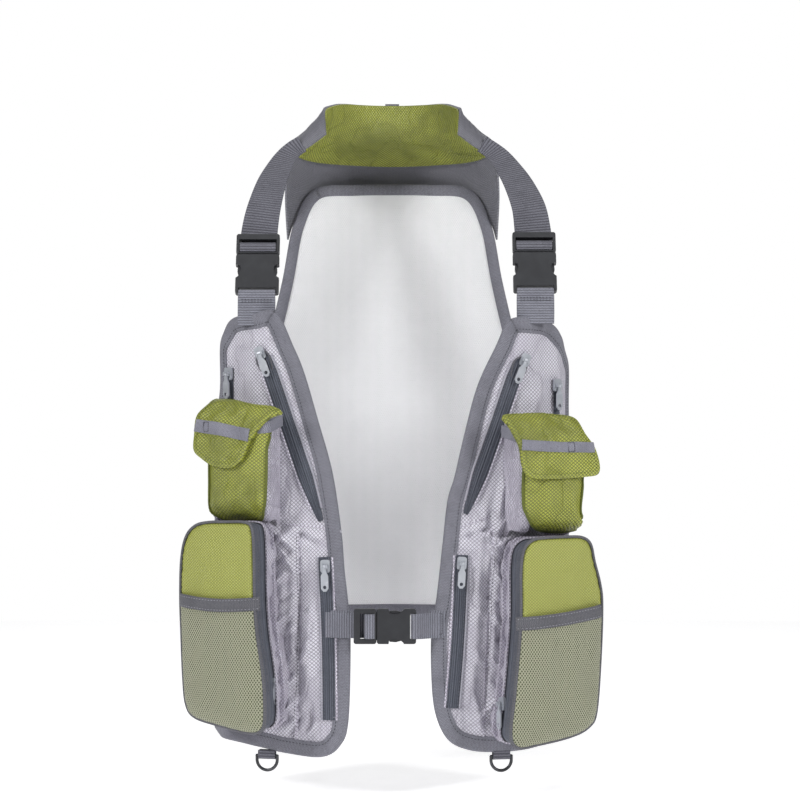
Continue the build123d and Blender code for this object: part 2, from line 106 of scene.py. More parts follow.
def inside_distance(q, loop):
    # distance to a closed outline, positive inside
    a = loop
    b = np.roll(loop, -1, axis=0)
    best = np.full(len(q), 1e9)
    cross = np.zeros(len(q), int)
    for s, e in zip(a, b):
        d = e - s
        t = np.clip(((q - s) @ d) / max(d @ d, 1e-9), 0, 1)
        best = np.minimum(best, np.linalg.norm(q - (s + t[:, None] * d), axis=1))
        up = (s[1] > q[:, 1]) != (e[1] > q[:, 1])
        x = s[0] + (q[:, 1] - s[1]) * d[0] / (d[1] if abs(d[1]) > 1e-9 else 1e-9)
        cross += up & (q[:, 0] < x)
    return np.where(cross % 2 == 1, best, -best)


def rough(u, v, size, seed, stretch=1.0):
    return np.array([noise.noise(Vector((x / size, y / size / stretch, seed))) for x, y in zip(u, v)])


def step_up(x, low, high):
    t = np.clip((x - low) / (high - low), 0, 1)
    return t * t * (3 - 2 * t)


def arrays(*values):
    # the values as float arrays of one shape
    return np.broadcast_arrays(*(np.asarray(x, float) for x in values))


def run_length(p):
    # how far along a line each of its points lies
    return np.concatenate([[0], np.cumsum(np.linalg.norm(np.diff(p, axis=0), axis=1))])


def headings(p):
    # unit directions along a line in a plane, and their left-hand normals
    g = np.gradient(p, axis=0)
    g /= np.linalg.norm(g, axis=1)[:, None]
    return g, np.stack([-g[:, 1], g[:, 0]], 1)


def pair_at(s, along, line):
    # both coordinates of a line, looked up by length
    return np.interp(s, along, line[:, 0]), np.interp(s, along, line[:, 1])


def twice_area(loop):
    # positive where the outline runs anticlockwise
    return np.sum(loop[:, 0] * np.roll(loop[:, 1], -1) - np.roll(loop[:, 0], -1) * loop[:, 1])


def inward(loop):
    # 1 where the inside is on the left of the outline, else -1
    return 1.0 if twice_area(loop) > 0 else -1.0


def inset(loop, by):
    # a closed outline moved inwards
    ringed = np.vstack([loop, loop[:2]])
    return ringed + headings(ringed)[1] * inward(loop) * by


def crease(u, v, line, wide, high):
    # a soft ridge (or a groove, if high is negative) along a line
    (a0, b0), (a1, b1) = line
    d = np.array([a1 - a0, b1 - b0])
    t = ((u - a0) * d[0] + (v - b0) * d[1]) / (d @ d)
    tc = np.clip(t, 0, 1)
    dist = np.hypot(u - a0 - tc * d[0], v - b0 - tc * d[1])
    return high * np.exp(-((dist / wide) ** 2)) * (1 - 0.5 * np.abs(tc - 0.5))


# ---------------------------------------------------------------- surfaces
class Wall:
    # upright surface over a plan line; its coordinates are length along the plan and height
    def __init__(self, points, soft=6.0, low=None):
        self.p = eased(points, soft, 0.5, closed=False)
        self.s = run_length(self.p)
        self.g, self.n = headings(self.p)
        self.low = low  # (height where it starts to tuck in, height where it ends, share kept)

    def __call__(self, u, v, h):
        u, v, h = arrays(u, v, h)
        a, f = pair_at(u, self.s, self.p)
        na, nf = pair_at(u, self.s, self.n)
        before, after = np.minimum(u, 0), np.maximum(u - self.s[-1], 0)
        a = a + before * self.g[0, 0] + after * self.g[-1, 0]
        f = f + before * self.g[0, 1] + after * self.g[-1, 1]
        if self.low:
            start, end, keep = self.low
            t = np.clip((start - v) / (start - end), 0, 1)
            share = keep + (1 - keep) * np.sqrt(np.maximum(1 - t**2.4, 0))
            first, last = self.p[0, 0], self.p[-1, 0]
            base = first + (last - first) * np.clip(u / self.s[-1], 0, 1)
            back = PANEL(PANEL.along(base), v, 3.0)
            a = back[..., 0] + (a + na * h - back[..., 0]) * (0.72 + 0.28 * share)
            f = back[..., 1] + (f + nf * h - back[..., 1]) * share
            return np.stack([a, f, v], -1)
        return np.stack([a + na * h, f + nf * h, v], -1)

    def along(self, a):
        order = np.argsort(self.p[:, 0])
        return np.interp(a, self.p[order, 0], self.s[order])

    def flat(self, side, points, h=0.0):
        # outline drawn on the flat plane, carried back onto this surface
        out = []
        for x, z in points:
            c = -VIEW_X if side == "r" else VIEW_X
            a, k = x, 1.0
            for _ in range(8):
                at = self(self.along(a), z, h)
                k = 1 + (PLANE_F - at[1]) / (VIEW_F - PLANE_F)
                a = (x - c) * k + c - (at[0] - self.p_a(a))
            out.append((float(self.along(a)), VIEW_Z + (z - VIEW_Z) * k))
        return out

    def p_a(self, a):
        return float(np.interp(self.along(a), self.s, self.p[:, 0]))


class Rim:
    # surface that runs round a closed outline on a plane; its coordinates are length and depth
    def __init__(self, wall, outline):
        self.wall, self.p = wall, np.vstack([outline, outline[:1]])
        self.s, self.n = run_length(self.p), headings(self.p)[1]

    def __call__(self, u, v, h):
        u, v, h = arrays(u, v, h)
        u = np.mod(u, self.s[-1])
        pu, pz = pair_at(u, self.s, self.p)
        nu, nz = pair_at(u, self.s, self.n)
        return self.wall(pu + nu * h, pz + nz * h, v)


class Over:
    # the top of a piece of cloth that has its own relief
    def __init__(self, place, loop, relief):
        self.place, self.loop, self.relief = place, loop, relief

    def __call__(self, u, v, h):
        u, v, h = arrays(u, v, h)
        d = np.maximum(inside_distance(np.stack([u.ravel(), v.ravel()], 1), self.loop), 0)
        return self.place(u, v, h + self.relief(u.ravel(), v.ravel(), d).reshape(u.shape))


class Fold:
    # cloth that follows a section (forward, up) and runs along a plan edge
    def __init__(self, a, b, section, top):
        self.a = np.array(a, float)
        d = np.array(b, float) - self.a
        self.u = d / np.linalg.norm(d)
        self.m = np.array([-self.u[1], self.u[0]])
        self.c = spline(section, 0.5) + np.array([0, top])
        self.t, self.n = run_length(self.c), headings(self.c)[1]

    def __call__(self, u, v, h):
        # v counts down from 0 at the hinge
        u, v, h = arrays(u, v, h)
        w = -v
        m, z = pair_at(w, self.t, self.c)
        after = np.maximum(w - self.t[-1], 0)
        nm, nz = pair_at(w, self.t, self.n)
        m, z = m + nm * h, z + nz * h - after
        xy = self.a + u[..., None] * self.u + m[..., None] * self.m
        return np.concatenate([xy, z[..., None]], -1)

    def flat(self, side, points):
        out = []
        c = -VIEW_X if side == "r" else VIEW_X
        for x, z in points:
            u, v = 30.0, -30.0
            for _ in range(20):
                at = self(u, v, 0.0)
                k = 1 + (PLANE_F - at[1]) / (VIEW_F - PLANE_F)
                u += ((x - c) * k + c - at[0]) / self.u[0]
                want = VIEW_Z + (z - VIEW_Z) * k
                v = -float(np.interp(-want, -self.c[:, 1], self.t)) if want < self.c[0, 1] else 0.0
            out.append((float(u), v))
        return out


# ---------------------------------------------------------------- meshes
def sided(name, side):
    # the full name of a piece, a node or a body; the vest's own body and the middle pieces have no side
    return f"{name}_{side}" if side and name != "vest" else name


def world(side, p):
    p = np.asarray(p, float).reshape(-1, 3)
    sign = -1.0 if side == "r" else 1.0
    return np.stack([sign * p[:, 0], -p[:, 1], p[:, 2]], 1) * MM


def build(name, side, verts, faces, uvs, mat, body="vest", slot=None, replaces=None, sharp=None):
    name = sided(name, side)
    mesh = bpy.data.meshes.new(name)
    mesh.from_pydata([tuple(v) for v in verts], [], faces)
    layer = mesh.uv_layers.new(name="UVMap")
    index = np.empty(len(mesh.loops), int)
    mesh.loops.foreach_get("vertex_index", index)
    layer.data.foreach_set("uv", (np.asarray(uvs, float)[index] * MM).ravel())
    bm = bmesh.new()
    bm.from_mesh(mesh)
    bmesh.ops.recalc_face_normals(bm, faces=bm.faces)
    bm.to_mesh(mesh)
    bm.free()
    mesh.polygons.foreach_set("use_smooth", [True] * len(mesh.polygons))
    if sharp:
        mesh.set_sharp_from_angle(angle=math.radians(sharp))
    mesh.materials.append(mat)
    obj = bpy.data.objects.new(name, mesh)
    bpy.context.scene.collection.objects.link(obj)
    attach(obj, sided(body, side))
    if replaces:
        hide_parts(sided(replaces, side))


def cloth(name, side, outline, place, mat, height, cell=3.0, thick=1.4, ready=False, **kw):
    # one layer of cloth cut to an outline, laid on a surface
    loop = np.array(outline, float) if ready else spline(outline, cell, closed=True)
    if ready:
        ring = np.vstack([loop, loop[:1]])
        s = run_length(ring)
        want = np.linspace(0, s[-1], max(8, int(s[-1] / cell)), endpoint=False)
        loop = np.stack(pair_at(want, s, ring), 1)
    lo, hi = loop.min(0), loop.max(0)
    gu, gv = np.meshgrid(np.arange(lo[0], hi[0], cell), np.arange(lo[1], hi[1], cell * 0.866))
    gu[1::2] += cell / 2
    q = np.stack([gu.ravel(), gv.ravel()], 1)
    d = inside_distance(q, loop)
    q, d = q[d > 0.55 * cell], d[d > 0.55 * cell]
    pts = np.vstack([loop, q])
    dist = np.concatenate([np.zeros(len(loop)), d])
    n = len(loop)
    edges = [(i, (i + 1) % n) for i in range(n)]
    _, _, cells, source, _, _ = delaunay_2d_cdt([Vector(p) for p in pts], edges, [], 1, 1e-5)
    src = np.array([s[0] if s else 0 for s in source])
    u, v, dist = pts[src, 0], pts[src, 1], dist[src]
    h = height(u, v, dist)
    front = world(side, place(u, v, h))
    back = world(side, place(u, v, h - thick))
    m = len(u)
    faces = [tuple(f) for f in cells] + [tuple(i + m for i in reversed(f)) for f in cells]
    where = {int(s): i for i, s in reversed(list(enumerate(src)))}
    for i, j in edges:
        if i in where and j in where:
            faces.append((where[i], where[j], where[j] + m, where[i] + m))
    uv = np.stack([u, v], 1)
    build(name, side, np.vstack([front, back]), faces, np.vstack([uv, uv]), mat, sharp=50, **kw)


def level(h):
    # the height of an even cloth
    return lambda u, v, d: h + 0 * u


def tube_faces(n, m, closed=False):
    # m lines of n points joined all round; the ends are capped unless the tube is a ring
    faces = []
    for k in range(m):
        k2 = (k + 1) % m
        for i in range(n if closed else n - 1):
            j = (i + 1) % n
            faces.append((k * n + i, k * n + j, k2 * n + j, k2 * n + i))
    if not closed:
        faces.append(tuple(k * n for k in range(m)))
        faces.append(tuple(k * n + n - 1 for k in reversed(range(m))))
    return faces


def band(name, side, path, place, profile, mat, closed=False, ready=False, wave=None, taper=None, sharp=45,
         **kw):
    # a long piece with one cross-section, laid along a line on a surface
    c = np.array(path, float) if ready else spline(path, 3.0, closed)
    if closed:
        t = np.roll(c, -1, axis=0) - np.roll(c, 1, axis=0)
    else:
        t = np.gradient(c, axis=0)
    t /= np.linalg.norm(t, axis=1)[:, None] + 1e-12
    nrm = np.stack([-t[:, 1], t[:, 0]], 1)
    length = run_length(c)
    share = taper(length / length[-1]) if taper else np.ones(len(c))
    rings, uv = [], []
    for o, h in profile:
        q = c + nrm * (o * share)[:, None]
        high = np.full(len(c), float(h))
        if wave:
            high = high + wave(length, o)
        rings.append(world(side, place(q[:, 0], q[:, 1], high)))
        uv.append(np.stack([length, np.full(len(c), o + 0.3 * h)], 1))
    faces = tube_faces(len(c), len(profile), closed)
    build(name, side, np.vstack(rings), faces, np.vstack(uv), mat, sharp=sharp, **kw)


def flat_profile(wide, high, under=-0.4, lip=0.7):
    w = wide / 2
    half = [(w, under), (w, high * 0.6), (w - lip, high)]
    return [(-o, h) for o, h in half] + [(0, high * 1.05)] + half[::-1]


def zip_profile(wide, high):
    w = wide / 2
    half = [(w, -0.3), (w, high * 0.55), (w - 0.9, high), (3.0, high), (2.5, high + 0.55),
            (1.1, high + 0.8), (0.35, high + 0.1)]
    return half + [(-o, h) for o, h in reversed(half)]


def round_profile(r, up=0.0, count=10):
    turns = [2 * math.pi * i / count for i in range(count)]
    return [(r * math.cos(t), up + r * math.sin(t)) for t in turns]


def strap(name, side, rows, mat, thick=1.8, step=4.0, **kw):
    # webbing through space: each row is a middle point, its outward direction and its width
    data = np.array([list(p) + list(o) + [w] for p, o, w in rows], float)
    c = spline(data, step)
    p, out, wide = c[:, :3], c[:, 3:6], c[:, 6]
    t = np.gradient(p, axis=0)
    t /= np.linalg.norm(t, axis=1)[:, None]
    across = np.cross(t, out)
    across /= np.linalg.norm(across, axis=1)[:, None]
    up = np.cross(across, t)
    edge = [(1, 0), (0.985, 0.8), (0.93, 1.0), (0.8, 0.8), (0.4, 0.86)]
    half = [(-o, h) for o, h in edge] + [(0, 0.88)] + edge[::-1]
    profile = half + [(o, -h) for o, h in reversed(half[1:-1])]
    length = run_length(p)
    rings, uv = [], []
    for o, h in profile:
        rings.append(world(side, p + across * (wide * o / 2)[:, None] + up * (h * thick / 2)))
        uv.append(np.stack([length, wide * o / 2], 1))
    faces = tube_faces(len(p), len(profile))
    build(name, side, np.vstack(rings), faces, np.vstack(uv), mat, slot="webbing", sharp=60, **kw)


def resample(points, count):
    # as many points as asked for, along a smooth line through the given ones
    fine = spline(points, 0.5)
    s = np.linspace(0, len(fine) - 1, count)
    return np.stack([np.interp(s, np.arange(len(fine)), fine[:, k]) for k in range(3)], 1)


def loft(name, rows, mat, thick=2.0, cell=4.0, lift=0.0, bump=None, **kw):
    # cloth through rows of points given for one half, and mirrored to the other
    rows = [np.array(r, float) for r in rows]
    rows = [r * np.array([-1, 1, 1]) for r in rows[:0:-1]] + rows
    count = max(4, int(max(np.linalg.norm(np.diff(r, axis=0), axis=1).sum() for r in rows) / cell))
    grid = np.array([resample(r, count) for r in rows])
    long = max(np.linalg.norm(np.diff(grid, axis=0), axis=2).sum(0))
    n = max(4, int(long / cell))
    g = np.array([resample(grid[:, j], n) for j in range(count)]).transpose(1, 0, 2)
    nrm = np.cross(np.gradient(g, axis=0), np.gradient(g, axis=1))
    nrm /= np.linalg.norm(nrm, axis=2)[:, :, None] + 1e-9
    uu, vv = np.meshgrid(np.linspace(0, long, n), np.linspace(0, cell * count, count), indexing="ij")
    h = np.full(uu.shape, lift)
    if bump:
        h = h + bump(uu.ravel(), vv.ravel()).reshape(uu.shape)
    front, back = g + nrm * h[:, :, None], g + nrm * (h - thick)[:, :, None]
    k = n * count
    faces = []
    for i in range(n - 1):
        for j in range(count - 1):
            q = (i * count + j, (i + 1) * count + j, (i + 1) * count + j + 1, i * count + j + 1)
            faces += [q, tuple(x + k for x in reversed(q))]
    rim = [i * count for i in range(n)] + [(n - 1) * count + j for j in range(1, count)]
    rim += [i * count + count - 1 for i in range(n - 2, -1, -1)] + [j for j in range(count - 2, 0, -1)]
    faces += [(x, y, y + k, x + k) for x, y in zip(rim, rim[1:] + rim[:1])]
    uv = np.stack([uu.ravel(), vv.ravel()], 1)
    verts = np.vstack([world(None, front), world(None, back)])
    build(name, None, verts, faces, np.vstack([uv, uv]), mat, sharp=50, **kw)


def stitches(name, side, paths, place, mat, h=1.2, every=3.3, long=2.3, r=0.33, ready=False, **kw):
    # a row of separate thread stitches along each path
    verts, faces = [], []
    for path in paths:
        c = np.array(path, float) if ready else spline(path, every)
        q = world(side, place(c[:, 0], c[:, 1], np.full(len(c), h)))
        up = world(side, place(c[:, 0], c[:, 1], np.full(len(c), h + 1.0))) - q
        for a, b, out in zip(q, q[1:], up):
            far = np.linalg.norm(b - a)
            if far < 1e-6:
                continue
            d, n0 = (b - a) / far, out / (np.linalg.norm(out) + 1e-12)
            w = np.cross(d, n0)
            mid, base = (a + b) / 2, len(verts)
            half = long * MM / 2
            verts += [mid - d * half - n0 * r * MM, mid + d * half - n0 * r * MM]
            for e in (-0.6, 0.6):
                for x, y in ((1, -0.3), (0.6, 0.9), (-0.6, 0.9), (-1, -0.3)):
                    verts.append(mid + d * half * e + w * x * r * MM + n0 * y * r * MM)
            for k in range(4):
                k2 = (k + 1) % 4
                faces.append((base + 2 + k, base + 2 + k2, base + 6 + k2, base + 6 + k))
                faces.append((base, base + 2 + k2, base + 2 + k))
                faces.append((base + 1, base + 6 + k, base + 6 + k2))
    build(name, side, verts, faces, np.zeros((len(verts), 2)), mat, **kw)


def frame_stitches(name, side, corners, place, mat, **kw):
    # stitches along each side of a closed figure
    ring = corners + corners[:1]
    stitches(name, side, [ring[i : i + 2] for i in range(len(corners))], place, mat, **kw)


# ---------------------------------------------------------------- materials
def srgb(*levels):
    # a colour given as screen levels, in Blender's linear values
    return tuple(c / 255 / 12.92 if c <= 10 else ((c / 255
                                                   + 0.055) / 1.055) ** 2.4 for c in levels) + (1.0,)


class Paint:
    def __init__(self, name, rough=0.6, metal=0.0, sheen=0.0, coat=0.0, level=0.5):
        self.m = bpy.data.materials.new(name)
        self.m.use_nodes = True
        self.t = self.m.node_tree
        self.b = self.t.nodes["Principled BSDF"]
        finish = {"Roughness": rough, "Metallic": metal, "Sheen Weight": sheen, "Sheen Roughness": 0.4,
                  "Coat Weight": coat, "Coat Roughness": 0.25, "Specular IOR Level": level}
        for key, value in finish.items():
            self.b.inputs[key].default_value = value
        coord = self.t.nodes.new("ShaderNodeTexCoord")
        self.uv, self.obj = coord.outputs["UV"], coord.outputs["Object"]

    def link(self, value, socket):
        if isinstance(value, bpy.types.NodeSocket):
            self.t.links.new(value, socket)
        else:
            socket.default_value = value

    def math(self, op, *args):
        n = self.t.nodes.new("ShaderNodeMath")
        n.operation = op
        for i, a in enumerate(args):
            self.link(a, n.inputs[i])
        return n.outputs[0]

    def add(self, a, b):
        return self.math("ADD", a, b)

    def sub(self, a, b):
        return self.math("SUBTRACT", a, b)

    def mul(self, a, b):
        return self.math("MULTIPLY", a, b)

    def noise(self, scale, detail=3.0, stretch=None):
        n = self.t.nodes.new("ShaderNodeTexNoise")
        n.inputs["Scale"].default_value = scale
        n.inputs["Detail"].default_value = detail
        src = self.obj
        if stretch:
            m = self.t.nodes.new("ShaderNodeMapping")
            m.inputs["Scale"].default_value = stretch
            self.t.links.new(src, m.inputs["Vector"])
            src = m.outputs[0]
        self.t.links.new(src, n.inputs["Vector"])
        return n.outputs[0]

    def range(self, x, a, b, c, d):
        # a smooth step: x from a to b gives c to d
        n = self.t.nodes.new("ShaderNodeMapRange")
        n.interpolation_type = "SMOOTHSTEP"
        for i, v in enumerate((x, a, b, c, d)):
            self.link(v, n.inputs[i])
        return n.outputs[0]

    def axes(self):
        # cloth coordinates in millimetres
        s = self.t.nodes.new("ShaderNodeSeparateXYZ")
        self.t.links.new(self.uv, s.inputs[0])
        u, v = self.mul(s.outputs[0], 1 / MM), self.mul(s.outputs[1], 1 / MM)
        return u, v

    def saw(self, x, period):
        # 0 midway between two threads, 1 on a thread
        f = self.math("FRACT", self.math("DIVIDE", x, period))
        return self.mul(self.math("ABSOLUTE", self.sub(f, 0.5)), 2.0)

    def mix(self, f, a, b):
        n = self.t.nodes.new("ShaderNodeMix")
        n.data_type = "RGBA"
        self.link(f, n.inputs[0])
        self.link(a, n.inputs[6])
        self.link(b, n.inputs[7])
        return n.outputs[2]

    def done(self, color, height, distance=0.3, strength=1.0, roughness=None):
        self.link(color, self.b.inputs["Base Color"])
        n = self.t.nodes.new("ShaderNodeBump")
        n.inputs["Strength"].default_value = strength
        n.inputs["Distance"].default_value = distance * MM
        self.link(height, n.inputs["Height"])
        self.t.links.new(n.outputs[0], self.b.inputs["Normal"])
        if roughness is not None:
            self.link(roughness, self.b.inputs["Roughness"])
        return self.m


def ripstop(name, base, line, shade, period=3.5, rough=0.5, sheen=0.25, relief=0.35, tall=1.0, share=0.62,
            wrinkle=3.0, shade_cloud=0.45):
    # woven cloth with raised cells between a diamond grid of threads, with painted shade in cloudy patches
    # and along the creases
    p = Paint(name, rough, sheen=sheen, level=0.65)
    base, line, shade = srgb(*base), srgb(*line), srgb(*shade)
    p.b.inputs["Sheen Tint"].default_value = base
    u, v = p.axes()
    v = p.mul(v, tall)
    r = math.radians(45)
    a = p.add(p.mul(u, math.cos(r)), p.mul(v, math.sin(r)))
    b = p.sub(p.mul(u, math.sin(r)), p.mul(v, math.cos(r)))
    sa, sb = p.saw(a, period), p.saw(b, period)
    top = p.math("MAXIMUM", sa, sb)
    mask = p.range(top, share, 0.98, 0.0, 1.0)
    cell = p.mul(p.sub(1.0, p.math("POWER", sa, 3.0)), p.sub(1.0, p.math("POWER", sb, 3.0)))
    weave = p.mul(p.saw(u, 0.55), p.saw(v, 0.55))
    cloudy = p.noise(22.0, 4.0)
    fine = p.noise(900.0, 2.0)
    c = p.mix(p.mul(mask, 0.95), base, line)
    # painted shade: cloudy patches darkened toward the shade colour, standing in for the shading of soft
    # folds
    c = p.mix(p.range(cloudy, 0.35, 0.75, 0.0, shade_cloud), c, shade)
    c = p.mix(p.mul(fine, 0.22), c, shade)
    high = p.add(cell, p.mul(p.add(weave, fine), 0.16))
    folds = p.noise(60.0, 5.0, stretch=(1.0, 1.0, 0.55))
    high = p.add(high, p.mul(folds, wrinkle / relief * 0.35))
    # sharp creases where two slow waves meet, dented in the bump and darkened with painted shade
    swell = p.noise(34.0, 2.0, stretch=(1.0, 1.0, 0.6))
    sharp = p.math("POWER", p.sub(1.0, p.math("ABSOLUTE", p.sub(p.mul(swell, 2.0), 1.0))), 14.0)
    high = p.sub(high, p.mul(sharp, wrinkle / relief * 0.16))
    # painted shade along the creases
    c = p.mix(p.mul(sharp, 0.05 * wrinkle), c, shade)
    return p.done(c, high, relief, 1.0, p.range(fine, 0.2, 0.8, rough - 0.1, rough + 0.12))


def webbing(name, base, dark, period=1.6, rough=0.75, relief=0.3, across=False, sheen=0.3, zigzag=0.8):
    # ribbed narrow weave
    p = Paint(name, rough, sheen=sheen)
    base, dark = srgb(*base), srgb(*dark)
    u, v = p.axes()
    if across:
        u, v = v, u
    zig = p.mul(p.saw(v, 3.2), zigzag)
    rib = p.saw(p.add(u, zig), period)
    fine = p.noise(1400.0, 3.0)
    cloudy = p.noise(60.0, 3.0)
    c = p.mix(p.range(rib, 0.25, 1.0, 0.0, 0.75), base, dark)
    c = p.mix(p.range(fine, 0.45, 0.7, 0.0, 0.5), c, dark)
    c = p.mix(p.range(cloudy, 0.4, 0.8, 0.0, 0.25), c, dark)
    high = p.add(p.sub(1.0, rib), p.mul(fine, 0.5))
    return p.done(c, high, relief, 1.0, p.range(fine, 0.2, 0.8, rough - 0.1, rough + 0.12))


def netting(name, thread, hole, period=2.6, rough=0.7, tall=0.62, shade_cloud=0.5):
    # knitted net over the cloth behind it; the hole colour stands for that cloth, and darkens in cloudy
    # patches as painted shade
    p = Paint(name, rough, sheen=0.2)
    thread, hole = srgb(*thread), srgb(*hole)
    u, v = p.axes()
    v = p.mul(v, tall)
    a, b = p.add(u, v), p.sub(u, v)
    sa, sb = p.saw(a, period), p.saw(b, period)
    top = p.math("MAXIMUM", sa, sb)
    net = p.range(top, 0.42, 0.72, 0.0, 1.0)
    cloudy = p.noise(26.0, 4.0)
    fine = p.noise(1200.0, 2.0)
    # painted shade: the holes turn darker in cloudy patches
    back = p.mix(p.range(cloudy, 0.35, 0.7, 0.0, shade_cloud), hole, tuple(x * 0.55 for x in hole[:3]) + (1.0,))
    front = p.mix(p.mul(fine, 0.5), thread, tuple(x * 0.75 for x in thread[:3]) + (1.0,))
    return p.done(p.mix(net, back, front), p.add(net, p.mul(fine, 0.2)), 0.45)


def plastic(name, base, worn, rough=0.38, metal=0.0, coat=0.0, relief=0.05, grain=900.0, wear=0.45):
    # moulded or painted hard piece, slightly mottled and rubbed
    p = Paint(name, rough, metal=metal, coat=coat)
    base, worn = srgb(*base), srgb(*worn)
    fine, big, rub = p.noise(grain, 3.0), p.noise(70.0, 4.0), p.noise(260.0, 4.0)
    c = p.mix(p.range(big, 0.35, 0.7, 0.0, 0.35), base, worn)
    c = p.mix(p.range(rub, 0.58, 0.72, 0.0, wear), c, worn)
    return p.done(c, fine, relief, 0.8, p.range(rub, 0.3, 0.75, rough - 0.02, rough + 0.08))


# the third colour of each ripstop is painted shade, used for cloudy patches and creases, and for a fine
# speckle
RIPSTOP = ripstop("grey_ripstop", (224, 222, 232), (106, 102, 114), (158, 153, 168), 2.7, rough=0.36,
                  sheen=0.1, relief=0.45, wrinkle=7.5)
GUSSET = ripstop("grey_gusset", (222, 218, 231), (102, 97, 110), (140, 134, 150), 2.7, rough=0.38,
                 sheen=0.1, relief=0.45, wrinkle=7.0)
GREEN = ripstop("green_diamond", (176, 182, 70), (70, 74, 24), (96, 102, 32), 2.9, rough=0.36, sheen=0.08,
                relief=0.45, tall=1.2, share=0.5, wrinkle=6.0, shade_cloud=0.75)
MOULDED = ripstop("moulded_green", (170, 174, 82), (112, 116, 46), (142, 146, 66), 2.3, rough=0.45,
                  sheen=0.06, relief=0.3, tall=1.1, share=0.45, wrinkle=0.5)
# the net's hole colour is the green cloth behind it, partly its own green and partly painted shade
NET = netting("pocket_net", (162, 163, 140), (62, 68, 32))
BACK_NET = netting("back_net", (246, 246, 248), (232, 233, 236), 2.4, shade_cloud=0.1)
BINDING = webbing("binding_tape", (138, 138, 148), (70, 70, 80), 1.5, relief=0.35, sheen=0.1)
STRIP = webbing("flap_strip", (146, 146, 158), (84, 84, 96), 1.4, relief=0.3, sheen=0.1)
WEBBING = webbing("strap_webbing", (115, 115, 125), (44, 44, 52), 3.0, relief=0.8, sheen=0.05, zigzag=0.2)
WEB_LIGHT = webbing("chest_webbing", (136, 137, 148), (66, 67, 76), 2.6, relief=0.6, sheen=0.05, zigzag=0.3)
TAPE = webbing("zip_tape_cloth", (90, 94, 106), (46, 49, 58), 2.2, across=True, relief=0.4, sheen=0.05,
               zigzag=0.1)
DARK_BAND = webbing("mesh_band", (104, 104, 110), (58, 58, 64), 1.6, relief=0.3, sheen=0.05)
# collar and yoke cloth: darker grey than the panels, partly its own darker grey and partly painted shade
# for the yoke in shadow
COLLAR = ripstop("collar_cloth", (122, 122, 130), (76, 76, 84), (94, 94, 102), 2.4, sheen=0.05, relief=0.3,
                 wrinkle=2.0)
THREAD = webbing("thread", (152, 152, 162), (108, 108, 116), 0.6, relief=0.1, sheen=0.0)
DARK_THREAD = webbing("dark_thread", (58, 59, 66), (40, 41, 46), 0.6, relief=0.1, sheen=0.0)
GREEN_THREAD = webbing("green_thread", (104, 112, 44), (72, 78, 28), 0.6, relief=0.1, sheen=0.0)
PIPING = webbing("pale_piping", (176, 175, 186), (110, 108, 118), 1.6, relief=0.2, sheen=0.05)
BUCKLE = plastic("buckle_plastic", (35, 36, 40), (50, 52, 56), 0.42, relief=0.03, wear=0.2)
METAL = plastic("painted_metal", (178, 182, 190), (212, 215, 221), 0.32, metal=0.5, coat=0.2, relief=0.03)
RING = plastic("ring_black", (38, 39, 42), (84, 86, 92), 0.3, metal=0.35, coat=0.3, relief=0.03)

HARD = (("socket", BUCKLE), ("plug", BUCKLE), ("prong", BUCKLE), ("slider_", METAL), ("pull_", METAL))
for node, obj in frame["nodes"].items():
    paint = next((mat for word, mat in HARD if word in node),
                 RING if node in ("ring_r", "ring_l") else None)
    if paint:
        obj.data.materials.clear()
        obj.data.materials.append(paint)
        edge = obj.modifiers.new("edge", "BEVEL")
        edge.width = (0.45 if paint is BUCKLE else 0.22) * MM
        edge.segments = 2
        edge.limit_method = "ANGLE"
        edge.angle_limit = math.radians(35)
        edge.harden_normals = True


# ---------------------------------------------------------------- panels
PANEL = Wall([(36, 207.9), (135, 187), (172, 158), (182, 118)], 9.0)
END = PANEL.s[-1] + 0.5
INNER_EDGE = {
    "r": [(116.5, -213), (99.5, -247), (88.5, -274), (74.5, -322), (60.5, -373), (51.5, -433), (48.5, -470),
          (44.5, -507), (42.5, -543), (44.5, -620), (52.5, -645), (70.5, -656), (106.5, -652),
          (136.5, -645)],
    "l": [(118.5, -221), (106.5, -245), (87.5, -286), (74.5, -334), (64.5, -377), (57.5, -401),
          (52.5, -445), (46.5, -498), (41.5, -530), (41.5, -579), (45.5, -614), (57.5, -639), (77.5, -649),
          (102.5, -651), (136.5, -648)],
}
TOP_EDGE = {
    "r": [(170.5, -290), (170.5, -250), (167, -232), (158, -219), (137, -214.5)],
    "l": [(178, -300), (177.5, -266), (172, -248), (160, -224.5), (140, -219)],
}
